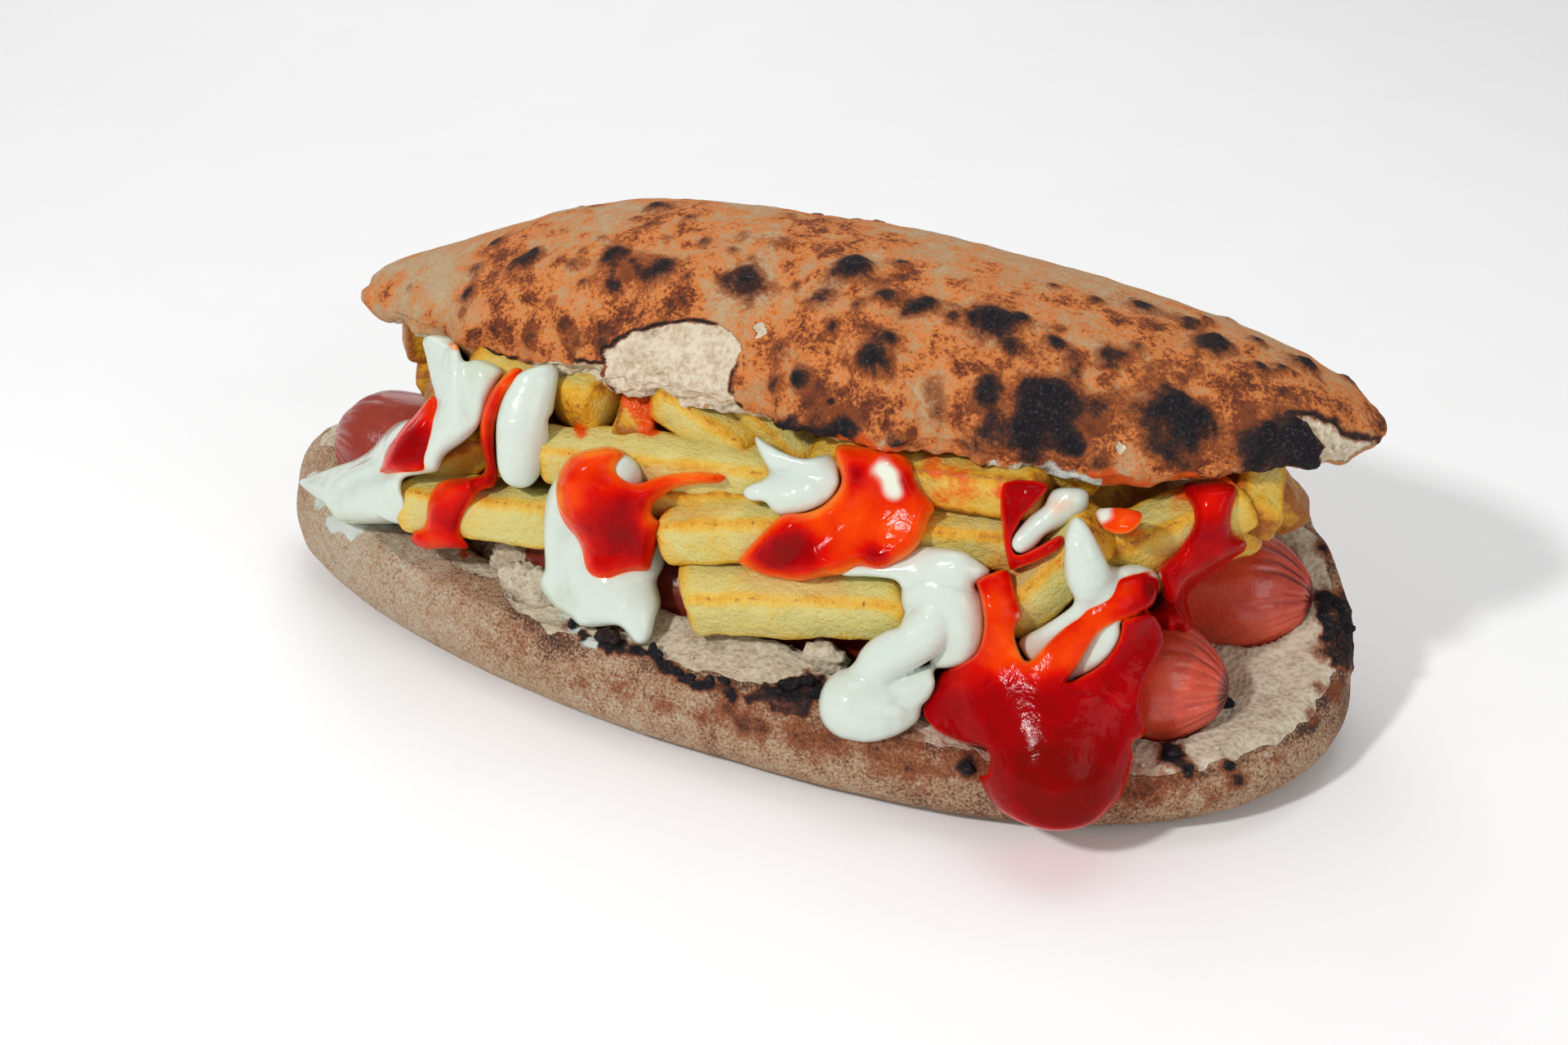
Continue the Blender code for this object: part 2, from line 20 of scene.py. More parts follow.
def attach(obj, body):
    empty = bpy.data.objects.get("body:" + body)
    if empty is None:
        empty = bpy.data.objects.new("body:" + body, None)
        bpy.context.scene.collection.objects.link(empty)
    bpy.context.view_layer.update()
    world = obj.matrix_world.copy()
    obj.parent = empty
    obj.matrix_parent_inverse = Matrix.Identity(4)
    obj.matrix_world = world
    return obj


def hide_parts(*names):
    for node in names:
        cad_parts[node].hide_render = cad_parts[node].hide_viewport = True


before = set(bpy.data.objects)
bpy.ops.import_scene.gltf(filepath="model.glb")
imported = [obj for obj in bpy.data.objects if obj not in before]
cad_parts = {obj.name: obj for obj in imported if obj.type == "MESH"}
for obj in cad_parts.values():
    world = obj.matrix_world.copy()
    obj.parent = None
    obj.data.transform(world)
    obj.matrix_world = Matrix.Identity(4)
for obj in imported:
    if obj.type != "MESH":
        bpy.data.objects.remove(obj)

Array = np.ndarray
Point = tuple[float, float, float]
Field = Callable[[Array], Array]
Corners = tuple[tuple[float, float], ...]
Colour = tuple[float, float, float, float]
Socket = bpy.types.NodeSocket
Box = tuple[Array, Array]
Layers = tuple[tuple[float, float, int], ...]
Strand = tuple[tuple[float, float, float, float], ...]

MM = 0.001
PLACE_ON_ORIGIN = (0.5, 4.2, 0.0)
BODY = "root"
LOG = logging.getLogger("panuozzo")

# A distance beyond all others, and the least length or area that something is divided by.
FAR = 1e3
TINY = 1e-9

# How a field's skin is brought into place: the step over which its slope is measured, the
# least squared slope that is trusted, and how often points are moved and relaxed.
SLOPE_NUDGE = 0.2
LEAST_STEEPNESS = 0.05
NEWTON_STEPS = 2
RELAXINGS = 3

# Spots seen in the photograph: how much of a spot's radius is its reach on the surface, how
# many pixels its edge wavers, and the size of that wavering in millimetres.
SPOT_SHARE = 0.95
SHADE_WAVER = 5.0
SHADE_WAVER_SIZE = 3.5


# Noise and smooth steps ---


def lattice_value(cells: Array, seed: int) -> Array:
    """Give each whole-number lattice point a repeatable number from 0 to 1.

    Args:
        cells: Whole numbers, with x, y and z on the last axis.
        seed: Chooses one of many patterns.

    Returns:
        One number for each lattice point.
    """
    mixed = cells[..., 0] * 374761393 + cells[..., 1] * 668265263 + cells[..., 2] * 1440662683
    mixed = (mixed + seed * 69069) & 0xFFFFFFFF
    mixed = ((mixed ^ (mixed >> 13)) * 1274126177) & 0xFFFFFFFF
    mixed = ((mixed ^ (mixed >> 15)) * 1103515245) & 0xFFFFFFFF
    return ((mixed ^ (mixed >> 16)) & 0xFFFFFF) / 0xFFFFFF


def soft_noise(points: Array, size: float, seed: int) -> Array:
    """Blend lattice values smoothly: a rolling pattern with features of one size.

    Args:
        points: Places in millimetres, x, y and z on the last axis.
        size: Distance between lattice points.
        seed: Chooses one of many patterns.

    Returns:
        Numbers from -1 to 1.
    """
    scaled = points / size
    base = np.floor(scaled).astype(np.int64)
    part = scaled - base
    part = part * part * (3 - 2 * part)
    total = np.zeros(points.shape[:-1])
    for corner in np.ndindex(2, 2, 2):
        offset = np.array(corner)
        weight = np.prod(np.where(offset == 1, part, 1 - part), axis=-1)
        total += weight * lattice_value(base + offset, seed)
    return total * 2 - 1


def rough_noise(points: Array, size: float, octaves: int, seed: int) -> Array:
    """Add ever finer noise: each octave has half the size and half the height.

    Args:
        points: Places in millimetres.
        size: Feature size of the first octave.
        octaves: How many are added.
        seed: Chooses one of many patterns.

    Returns:
        Numbers from about -1 to 1.
    """
    total = np.zeros(points.shape[:-1])
    for octave in range(octaves):
        total += soft_noise(points, size / 2**octave, seed + 17 * octave) / 2**octave
    return total / 1.5


def layered(points: Array, layers: Layers) -> Array:
    """Add up soft noises.

    Args:
        points: Places in millimetres.
        layers: Each noise's height, feature size and seed.

    Returns:
        The sum at each point.
    """
    return sum(height * soft_noise(points, size, seed) for height, size, seed in layers)


def pore_distance(points: Array, size: float, seed: int) -> Array:
    """Measure to the nearest of scattered pore centres, as a share of their spacing.

    Args:
        points: Places in millimetres.
        size: Spacing of the pores, one to each lattice cell.
        seed: Chooses one of many patterns.

    Returns:
        0 in the middle of a pore, about 1 between pores.
    """
    scaled = points / size
    base = np.floor(scaled).astype(np.int64)
    nearest = np.full(points.shape[:-1], np.inf)
    for step in np.ndindex(3, 3, 3):
        cell = base + np.array(step) - 1
        centre = np.stack([lattice_value(cell, seed + axis * 101) for axis in range(3)], axis=-1)
        nearest = np.minimum(nearest, np.linalg.norm(scaled - cell - centre, axis=-1))
    return nearest


def smooth_step(value: Array, low: float, high: float) -> Array:
    """Rise smoothly from 0 at low to 1 at high.

    Args:
        value: What is compared.
        low: Where the rise starts.
        high: Where it ends, which may lie below low for a fall.

    Returns:
        Numbers from 0 to 1.
    """
    part = np.clip((value - low) / (high - low), 0, 1)
    return part * part * (3 - 2 * part)


def smooth_least(one: Array, other: Array, blend: float) -> Array:
    """Take the lesser of two distances, rounded where they come within a blend width.

    Args:
        one: First distance.
        other: Second distance.
        blend: Width over which the two flow together.

    Returns:
        The rounded lesser distance.
    """
    near = np.clip(0.5 + 0.5 * (other - one) / blend, 0, 1)
    return other + (one - other) * near - blend * near * (1 - near)


def smooth_curve(knots: Array, at: Array) -> Array:
    """Carry values through knots on a Catmull-Rom curve.

    Args:
        knots: Values, one knot to each entry of the first axis.
        at: Places along the curve, 0 at the first knot and 1 more at each next one.

    Returns:
        One entry for each place.
    """
    padded = np.concatenate([knots[:1], knots, knots[-1:]])
    start = np.clip(np.floor(at).astype(int), 0, len(knots) - 2)
    part = (at - start).reshape(-1, *[1] * (knots.ndim - 1))
    before, first, second, after = (padded[start + step] for step in range(4))
    return 0.5 * (2 * first + (second - before) * part
                  + (2 * before - 5 * first + 4 * second - after) * part**2
                  + (3 * first - before - 3 * second + after) * part**3)


def smooth_loop(corners: Corners, steps: int) -> list[tuple[float, float]]:
    """Carry a closed Catmull-Rom curve through corners.

    Args:
        corners: The loop's corners.
        steps: Points for each corner.

    Returns:
        The finer loop.
    """
    ring = np.array(corners, dtype=float)
    before, first, second, after = (np.roll(ring, shift, axis=0) for shift in (1, 0, -1, -2))
    part = (np.arange(steps) / steps).reshape(-1, 1, 1)
    curve = 0.5 * (2 * first + (second - before) * part
                   + (2 * before - 5 * first + 4 * second - after) * part**2
                   + (3 * first - before - 3 * second + after) * part**3)
    return [(float(x), float(y)) for x, y in curve.transpose(1, 0, 2).reshape(-1, 2)]


def polygon_distance(across: Array, down: Array, corners: list[tuple[Array, Array]]) -> Array:
    """Measure to a closed polygon: the nearest side's distance, below 0 inside.

    Args:
        across: First coordinate of each place.
        down: Second coordinate of each place.
        corners: The polygon's corners, each a pair of numbers or of arrays like across.

    Returns:
        Signed distances.
    """
    nearest = np.full(across.shape, np.inf)
    outside = np.ones(across.shape)
    for (ax, ay), (bx, by) in zip(corners, corners[1:] + corners[:1]):
        side_x, side_y = bx - ax, by - ay
        to_x, to_y = across - ax, down - ay
        length = np.maximum(side_x * side_x + side_y * side_y, TINY)
        part = np.clip((to_x * side_x + to_y * side_y) / length, 0, 1)
        nearest = np.minimum(nearest, (to_x - side_x * part)**2 + (to_y - side_y * part)**2)
        above, upward = down >= ay, down < by
        turned = side_x * to_y > side_y * to_x
        crossed = (above & upward & turned) | (~above & ~upward & ~turned)
        outside = np.where(crossed, -outside, outside)
    return outside * np.sqrt(nearest)


def outlines_distance(across: Array, down: Array, outlines: tuple[Corners, ...]) -> Array:
    """Measure to the nearest of several closed polygons, below 0 inside any of them.

    Args:
        across: First coordinate of each place.
        down: Second coordinate of each place.
        outlines: The polygons' corners.

    Returns:
        Signed distances.
    """
    return np.min([polygon_distance(across, down, list(line)) for line in outlines], axis=0)


def box_round(ends: tuple[Point, Point], margin: float) -> Box:
    """Return the box that holds two points and a margin round them."""
    return np.min(ends, axis=0) - margin, np.max(ends, axis=0) + margin


def boxes_meet(one: Box, other: Box) -> bool:
    """Return whether two boxes share some space."""
    return bool(np.all(np.maximum(one[0], other[0]) < np.minimum(one[1], other[1])))


# Meshes ---


def globe_faces(rows: int, columns: int) -> list[Array]:
    """Join rings of points into a closed skin with a fan of triangles at each pole.

    Args:
        rows: Number of rings.
        columns: Points on each ring. The two poles come after all rings.

    Returns:
        Blocks of quads and triangles, as point numbers.
    """
    ring = np.arange(rows * columns).reshape(rows, columns)
    right = np.roll(ring, -1, axis=1)
    quads = np.stack([ring[:-1], right[:-1], right[1:], ring[1:]], axis=-1).reshape(-1, 4)
    low = np.stack([np.full(columns, rows * columns), right[0], ring[0]], axis=-1)
    high = np.stack([ring[-1], right[-1], np.full(columns, rows * columns + 1)], axis=-1)
    return [quads, np.concatenate([low, high])]


def unit_ball(rows: int, columns: int) -> Array:
    """Place rings of points on a ball of radius 1, from its foot up and without its poles.

    Args:
        rows: Number of rings.
        columns: Points on each ring.

    Returns:
        Points as rows, columns and x, y, z.
    """
    lift = np.linspace(-math.pi / 2, math.pi / 2, rows + 2)[1:-1, None]
    angles = np.linspace(0, 2 * math.pi, columns, endpoint=False)
    return np.stack([np.cos(lift) * np.cos(angles), np.cos(lift) * np.sin(angles),
                     np.sin(lift) + 0 * angles], axis=-1)


def grid_normals(grid: Array) -> Array:
    """Find the outward direction at each point of rings that run round an axis.

    It is the cross product of the step along the ring and the step to the next ring.

    Args:
        grid: Points as rows, columns and x, y, z.

    Returns:
        Unit directions in the same layout.
    """
    along = np.roll(grid, -1, axis=1) - np.roll(grid, 1, axis=1)
    upward = np.gradient(grid, axis=0)
    direction = np.cross(along, upward)
    return direction / np.maximum(np.linalg.norm(direction, axis=-1, keepdims=True), TINY)


def enclosed_volume(corners: Array, faces: list[Array]) -> float:
    """Return the volume inside a closed skin, below 0 if its faces point inwards."""
    total = 0.0
    for block in faces:
        first = corners[block[:, 0]]
        for turn in range(1, block.shape[1] - 1):
            cross = np.cross(corners[block[:, turn]], corners[block[:, turn + 1]])
            total += float(np.einsum("ij,ij->", first, cross)) / 6
    return total


def make_piece(name: str, corners: Array, faces: list[Array], material: bpy.types.Material,
               marks: dict[str, Array] | None = None) -> bpy.types.Object:
    """Write a closed skin into a smooth mesh whose faces point outwards.

    Args:
        name: The piece's name.
        corners: Points in millimetres.
        faces: Blocks of faces, as point numbers.
        material: What the piece is made of.
        marks: Numbers for each point that the material reads by name.

    Returns:
        The new object, riding on the part's body.
    """
    if enclosed_volume(corners, faces) < 0:
        faces = [block[:, ::-1] for block in faces]
    mesh = bpy.data.meshes.new(name)
    placed = (corners + np.array(PLACE_ON_ORIGIN)) * MM
    loops = np.concatenate([block.ravel() for block in faces])
    sizes = np.concatenate([np.full(len(block), block.shape[1]) for block in faces])
    mesh.vertices.add(len(placed))
    mesh.vertices.foreach_set("co", placed.astype(np.float32).ravel())
    mesh.loops.add(len(loops))
    mesh.loops.foreach_set("vertex_index", loops.astype(np.int32))
    mesh.polygons.add(len(sizes))
    mesh.polygons.foreach_set("loop_start", (np.cumsum(sizes) - sizes).astype(np.int32))
    mesh.update(calc_edges=True)
    mesh.validate()
    mesh.shade_smooth()
    for mark, values in (marks or {}).items():
        layer = mesh.attributes.new(mark, "FLOAT", "POINT")
        layer.data.foreach_set("value", values.astype(np.float32).ravel())
    mesh.materials.append(material)
    piece = bpy.data.objects.new(name, mesh)
    bpy.context.scene.collection.objects.link(piece)
    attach(piece, BODY)
    return piece


def relaxed(points: Array, quads: Array) -> Array:
    """Move each point halfway to the mean of the points that share an edge with it.

    Args:
        points: The skin's points.
        quads: Its faces, as point numbers.

    Returns:
        The moved points.
    """
    ends = np.concatenate([quads.ravel(), np.roll(quads, -1, axis=1).ravel()])
    others = np.concatenate([np.roll(quads, -1, axis=1).ravel(), quads.ravel()])
    shares = np.maximum(np.bincount(ends, minlength=len(points)), 1)
    sums = [np.bincount(ends, points[others, axis], len(points)) for axis in range(3)]
    return (points + np.stack(sums, axis=-1) / shares[:, None]) / 2


def join_cells(number: Array, crossings: list[tuple[Array, Array]]) -> Array:
    """Give each crossed grid edge a quad between the points of the four cells round it.

    Args:
        number: Each cell's point number.
        crossings: For each axis, which edges are crossed, and which of them start inside.

    Returns:
        Quads, as point numbers.
    """
    quads = []
    for axis, (crossed, inside) in enumerate(crossings):
        index = np.argwhere(crossed)
        back_one, back_two = np.roll(np.eye(3, dtype=int), -axis - 1, axis=0)[:2]
        ring = [index - back_one - back_two, index - back_two, index, index - back_one]
        quad = np.stack([number[tuple(corner.T)] for corner in ring], axis=-1)
        outward = inside[crossed]
        quad[~outward] = quad[~outward][:, ::-1]
        quads.append(quad)
    return np.concatenate(quads)


def drawn_onto(field_of: Field, points: Array, reach: float) -> Array:
    """Move points towards the skin where a field is 0, by Newton's step along its slope.

    Args:
        field_of: Gives the field at points.
        points: Points near the skin.
        reach: How far a point may move along each axis.

    Returns:
        The moved points.
    """
    slope = np.stack([field_of(points + nudge) - field_of(points - nudge)
                      for nudge in np.eye(3) * SLOPE_NUDGE], axis=-1) / (2 * SLOPE_NUDGE)
    steepness = np.maximum(np.sum(slope * slope, axis=-1), LEAST_STEEPNESS)
    move = (field_of(points) / steepness)[:, None] * slope
    return points - np.clip(move, -reach, reach)


def skin_round(field_of: Field, low: Array, high: Array, step: float) -> tuple[Array, list[Array]]:
    """Find the closed skin where a field is 0, with one point in each cell it crosses.

    The field is sampled on an even grid. A cell's point is the mean of the places where
    the field changes sign on the cell's edges, moved onto the skin. At last the skin is
    relaxed, as a thick liquid's is.

    Args:
        field_of: Gives the field at points, below 0 inside.
        low: Lowest corner of the box that is searched.
        high: Highest corner.
        step: Grid spacing.

    Returns:
        Points and blocks of quads.
    """
    counts = np.ceil((high - low) / step).astype(int) + 1
    axes = [low[axis] + step * np.arange(counts[axis]) for axis in range(3)]
    places = np.stack(np.meshgrid(*axes, indexing="ij"), axis=-1)
    values = field_of(places.reshape(-1, 3)).reshape(counts)
    for axis in range(3):
        layers = np.moveaxis(values, axis, 0)
        layers[[0, -1]] = np.maximum(layers[[0, -1]], step)
    cells = tuple(counts - 1)
    total, share = np.zeros((*cells, 3)), np.zeros(cells)
    crossings = []
    for axis in range(3):
        near = np.moveaxis(values, axis, 0)
        first, second = near[:-1], near[1:]
        crossed = (first < 0) != (second < 0)
        gap = np.where(crossed, first - second, 1.0)
        part = np.where(crossed, first / gap, 0.0)
        spot = np.moveaxis(places, axis, 0)[:-1].copy()
        spot[..., axis] += part * step
        crossed, first = np.moveaxis(crossed, 0, axis), np.moveaxis(first, 0, axis)
        spot = np.moveaxis(spot, 0, axis)
        crossings.append((crossed, first < 0))
        for shift in np.ndindex(2, 2):
            starts = np.insert(shift, axis, 0)
            window = tuple(slice(start, start + count) for start, count in zip(starts, cells))
            total += np.where(crossed[window][..., None], spot[window], 0)
            share += crossed[window]
    used = share > 0
    number = np.full(cells, -1)
    number[used] = np.arange(np.count_nonzero(used))
    quads = join_cells(number, crossings)
    points = total[used] / share[used][:, None]
    for _ in range(NEWTON_STEPS):
        points = drawn_onto(field_of, points, 0.5 * step)
    for _ in range(RELAXINGS):
        points = relaxed(points, quads)
    return points, [quads]


# The photograph's camera ---


@dataclass(frozen=True)
class PhotoView:
    """The photograph's camera: a pinhole that looks at a point from an angle."""

    azimuth: float = 21.0
    elevation: float = 30.0
    distance: float = 470.0
    focal_length: float = 50.0
    sensor: float = 36.0
    aim: Point = (5.5, -8.8, 40.0)
    width: int = 1920
    height: int = 1280
    least_facing: float = 0.08

    def axes(self) -> tuple[Array, Array, Array]:
        """Find the camera's directions.

        Returns:
            Unit directions to the right, up, and back towards the camera.
        """
        turn, lift = math.radians(self.azimuth), math.radians(self.elevation)
        back = np.array([math.sin(turn) * math.cos(lift), -math.cos(turn) * math.cos(lift),
                         math.sin(lift)])
        right = np.array([math.cos(turn), math.sin(turn), 0.0])
        return right, np.cross(back, right), back

    def project(self, points: Array) -> tuple[Array, Array]:
        """Find where points fall in the photograph.

        Args:
            points: Places in the working frame.

        Returns:
            Pixels across and pixels down.
        """
        right, up, back = self.axes()
        toward = points + np.array(PLACE_ON_ORIGIN) - (np.array(self.aim) + back * self.distance)
        scale = self.focal_length / self.sensor * self.width / -(toward @ back)
        return self.width / 2 + scale * (toward @ right), self.height / 2 - scale * (toward @ up)

    def scale(self) -> float:
        """Return pixels to a millimetre at the aim."""
        return self.focal_length / self.sensor * self.width / self.distance

    def find(self, points: Array, facing: Array, across: float, down: float) -> Array:
        """Find the point of a surface that a pixel of the photograph shows.

        Args:
            points: The surface's points.
            facing: How much each one's surface faces the camera.
            across: Pixels across.
            down: Pixels down.

        Returns:
            The place of the facing point nearest the pixel.
        """
        columns, rows = self.project(points)
        far = np.hypot(columns - across, rows - down)
        far = np.where(facing > self.least_facing, far, np.inf)
        return points.reshape(-1, 3)[np.argmin(far)]

    def add_camera(self) -> None:
        """Add the camera and make it the scene's own."""
        right, up, back = self.axes()
        lens = bpy.data.cameras.new("photo_camera")
        lens.lens, lens.sensor_width, lens.sensor_fit = self.focal_length, self.sensor, "HORIZONTAL"
        lens.clip_start, lens.clip_end = 0.01, 20.0
        camera = bpy.data.objects.new("photo_camera", lens)
        bpy.context.scene.collection.objects.link(camera)
        place = (np.array(self.aim) + back * self.distance) * MM
        turn = Matrix((right, up, back)).transposed().to_4x4()
        camera.matrix_world = Matrix.Translation(Vector(place)) @ turn
        bpy.context.scene.camera = camera


VIEW = PhotoView()


# Finishes ---

# Places of a Mix node's colour sockets, whose names its sockets of other types share.
MIX_COLOUR_A, MIX_COLOUR_B, MIX_COLOUR_OUT = 6, 7, 2

def shade(red: int, green: int, blue: int) -> Colour:
    """Return a colour as Blender takes it, from the 0 to 255 values that a photograph shows."""
    parts = [value / 255 for value in (red, green, blue)]
    return (*(part / 12.92 if part < 0.04045 else ((part + 0.055) / 1.055)**2.4
              for part in parts), 1.0)


class Recipe:
    """A material's node tree, put together one ingredient at a time."""

    def __init__(self, name: str) -> None:
        """Start a material that has a shader and Object coordinates."""
        self.material = bpy.data.materials.new(name)
        self.material.use_nodes = True
        self.tree = self.material.node_tree
        self.shader = self.tree.nodes["Principled BSDF"]
        self.place = self.tree.nodes.new("ShaderNodeTexCoord").outputs["Object"]

    def feed(self, socket: Socket, value: object) -> None:
        """Link another node's output to a socket, or set the socket's own value."""
        if isinstance(value, Socket):
            self.tree.links.new(value, socket)
        else:
            socket.default_value = value

    def set(self, **values: object) -> None:
        """Set the shader's sockets, named with underscores for spaces."""
        for name, value in values.items():
            self.feed(self.shader.inputs[name.replace("_", " ")], value)

    def mark(self, name: str) -> Socket:
        """Read a number that the mesh holds at each point."""
        node = self.tree.nodes.new("ShaderNodeAttribute")
        node.attribute_name = name
        return node.outputs["Fac"]

    def noise(self, size: float, detail: float = 4.0, roughness: float = 0.6,
              stretch: float = 0.0) -> Socket:
        """Add noise whose features have a size.

        Args:
            size: Feature size in millimetres.
            detail: Octaves.
            roughness: Weight of the finer octaves.
            stretch: Distortion.

        Returns:
            Numbers from 0 to 1.
        """
        node = self.tree.nodes.new("ShaderNodeTexNoise")
        self.feed(node.inputs["Vector"], self.place)
        node.inputs["Scale"].default_value = 1 / (size * MM)
        node.inputs["Detail"].default_value = detail
        node.inputs["Roughness"].default_value = roughness
        node.inputs["Distortion"].default_value = stretch
        return node.outputs["Fac"]

    def cells(self, size: float) -> Socket:
        """Add the distance to scattered cell centres that lie a size apart."""
        node = self.tree.nodes.new("ShaderNodeTexVoronoi")
        self.feed(node.inputs["Vector"], self.place)
        node.inputs["Scale"].default_value = 1 / (size * MM)
        return node.outputs["Distance"]

    def calculate(self, operation: str, one: object, other: object) -> Socket:
        """Join two numbers by a Math node's operation."""
        node = self.tree.nodes.new("ShaderNodeMath")
        node.operation = operation
        self.feed(node.inputs[0], one)
        self.feed(node.inputs[1], other)
        return node.outputs[0]

    def times(self, one: object, other: object) -> Socket:
        """Multiply two numbers."""
        return self.calculate("MULTIPLY", one, other)

    def plus(self, one: object, other: object) -> Socket:
        """Add two numbers."""
        return self.calculate("ADD", one, other)

    def minus(self, one: object, other: object) -> Socket:
        """Take the second number from the first."""
        return self.calculate("SUBTRACT", one, other)

    def mixture(self, base: object, *parts: tuple[Socket, float]) -> object:
        """Add noises to a base, each less its mean of one half and times a weight."""
        total = base
        for noise, weight in parts:
            total = self.plus(total, self.times(self.minus(noise, 0.5), weight))
        return total

    def rise(self, value: Socket, low: float, high: float) -> Socket:
        """Rise smoothly from 0 at low to 1 at high."""
        node = self.tree.nodes.new("ShaderNodeMapRange")
        node.interpolation_type = "SMOOTHSTEP"
        self.feed(node.inputs["Value"], value)
        node.inputs["From Min"].default_value = low
        node.inputs["From Max"].default_value = high
        return node.outputs["Result"]

    def ramp(self, value: Socket, stops: tuple[tuple[float, Colour], ...]) -> Socket:
        """Turn a number into a colour along stops of place and colour."""
        node = self.tree.nodes.new("ShaderNodeValToRGB")
        scale = node.color_ramp.elements
        while len(scale) < len(stops):
            scale.new(1.0)
        for element, (place, colour) in zip(scale, stops):
            element.position = place
            element.color = colour
        self.feed(node.inputs["Fac"], value)
        return node.outputs["Color"]

    def blend(self, share: object, one: object, other: object) -> Socket:
        """Mix one colour into another: the share is how much of the other shows."""
        node = self.tree.nodes.new("ShaderNodeMix")
        node.data_type = "RGBA"
        self.feed(node.inputs["Factor"], share)
        self.feed(node.inputs[MIX_COLOUR_A], one)
        self.feed(node.inputs[MIX_COLOUR_B], other)
        return node.outputs[MIX_COLOUR_OUT]

    def relief(self, height: Socket, depth: float, under: Socket | None = None) -> Socket:
        """Bump the surface by a height of 0 to 1, whose full depth is in millimetres."""
        node = self.tree.nodes.new("ShaderNodeBump")
        node.inputs["Distance"].default_value = depth * MM
        self.feed(node.inputs["Height"], height)
        if under is not None:
            self.feed(node.inputs["Normal"], under)
        return node.outputs["Normal"]


@dataclass(frozen=True)
class CrustFinish:
    """Baked dough: floury crust, brown mottles, burnt spots, torn crumb and sauce smears.

    The mesh marks "bake" for how brown it is, "char" for how burnt, "crumb" for torn
    places, "smear" for thin mayonnaise and "film" for thin ketchup.
    """

    name: str
    flour: Colour
    tan: Colour
    amber: Colour
    brown: Colour
    dark: Colour
    grain_size: float
    grain: float
    mottle_size: float
    mottle: float
    specks: float = 0.5
    rust: Colour = shade(134, 70, 38)
    umber: Colour = shade(70, 42, 34)
    soot: Colour = shade(24, 22, 26)
    grey_flecks: Colour = shade(74, 66, 66)
    crumb_light: Colour = shade(216, 203, 180)
    crumb_dark: Colour = shade(178, 158, 128)
    smear_white: Colour = shade(206, 212, 204)
    ketchup: Colour = shade(214, 88, 30)

    def crust(self, mix: Recipe, mottles: Socket, grain: Socket) -> Socket:
        """Colour the crust by how baked it is, with dark specks.

        Args:
            mix: The material's recipe.
            mottles: Noise of the brown mottles.
            grain: Noise of the flour's grain.

        Returns:
            The crust's colour.
        """
        broad = mix.noise(11.0, 3.0, 0.55, 0.4)
        baked = mix.mixture(mix.mark("bake"), (broad, 0.5), (mottles, self.mottle),
                            (grain, self.grain))
        colour = mix.ramp(baked, ((0.0, self.flour), (0.26, self.tan), (0.50, self.amber),
                                  (0.74, self.brown), (1.0, self.dark)))
        dots = mix.rise(mix.cells(1.1), 0.22, 0.10)
        places = mix.mixture(mix.noise(7.0, 2.0, 0.5), (mix.mark("bake"), 0.25))
        dots = mix.times(mix.times(dots, mix.rise(places, 0.5, 0.64)), self.specks)
        return mix.blend(dots, colour, self.umber)

    def burnt(self, mix: Recipe, colour: Socket, mottles: Socket, grain: Socket) -> Socket:
        """Lay burnt spots over the crust: rust round them, then umber, and soot with grey flecks.

        Args:
            mix: The material's recipe.
            colour: The crust's colour.
            mottles: Noise of the brown mottles.
            grain: Noise of the flour's grain.

        Returns:
            The colour with its burnt spots.
        """
        fine = mix.noise(1.3, 4.0, 0.75)
        heat = mix.mixture(mix.mark("char"), (mottles, 0.55), (fine, 0.7), (grain, 0.4))
        colour = mix.blend(mix.times(mix.rise(heat, 0.08, 0.45), 0.8), colour, self.rust)
        colour = mix.blend(mix.rise(heat, 0.40, 0.72), colour, self.umber)
        flakes = mix.rise(mix.noise(0.8, 3.0, 0.75), 0.50, 0.74)
        black = mix.blend(flakes, self.soot, self.grey_flecks)
        return mix.blend(mix.rise(heat, 0.62, 0.92), colour, black)

    def crumb(self, mix: Recipe) -> tuple[Socket, Socket]:
        """Colour torn crumb: pale and granular, with painted shade in its pores.

        Args:
            mix: The material's recipe.

        Returns:
            The crumb's colour and its pores' height.
        """
        pores = mix.cells(1.3)
        broad = mix.noise(5.0, 3.0, 0.6)
        # Darker in the pores: painted shade.
        tone = mix.mixture(0.5, (pores, 0.35), (broad, 1.2), (mix.noise(0.9, 3.0, 0.7), 1.2))
        colour = mix.blend(mix.rise(tone, 0.0, 0.75), self.crumb_dark, self.crumb_light)
        return colour, pores

    def material(self) -> bpy.types.Material:
        """Put the crust's material together.

        Returns:
            The finished material.
        """
        mix = Recipe(self.name)
        mottles = mix.noise(self.mottle_size, 5.0, 0.62, 0.6)
        grain = mix.noise(self.grain_size, 3.0, 0.7)
        colour = self.crust(mix, mottles, grain)
        torn = mix.rise(mix.mixture(mix.mark("crumb"), (mix.noise(1.4, 3.0, 0.7), 0.6)), 0.42, 0.56)
        inside, pores = self.crumb(mix)
        colour = mix.blend(torn, colour, inside)
        colour = self.burnt(mix, colour, mottles, grain)
        film = mix.rise(mix.mixture(mix.mark("film"), (mottles, 0.7)), 0.3, 0.6)
        colour = mix.blend(film, colour, self.ketchup)
        smear = mix.rise(mix.mixture(mix.mark("smear"), (mottles, 0.7)), 0.35, 0.6)
        colour = mix.blend(smear, colour, self.smear_white)
        wet = mix.times(mix.calculate("MAXIMUM", smear, film), 0.55)
        whole = mix.minus(1.0, mix.times(torn, 0.75))
        normal = mix.relief(mix.times(mottles, whole), 0.8)
        normal = mix.relief(mix.times(grain, whole), 0.5, normal)
        normal = mix.relief(mix.times(pores, torn), 0.4, normal)
        mix.set(Base_Color=colour, Roughness=mix.minus(0.85, wet), Normal=normal,
                Specular_IOR_Level=0.18)
        return mix.material


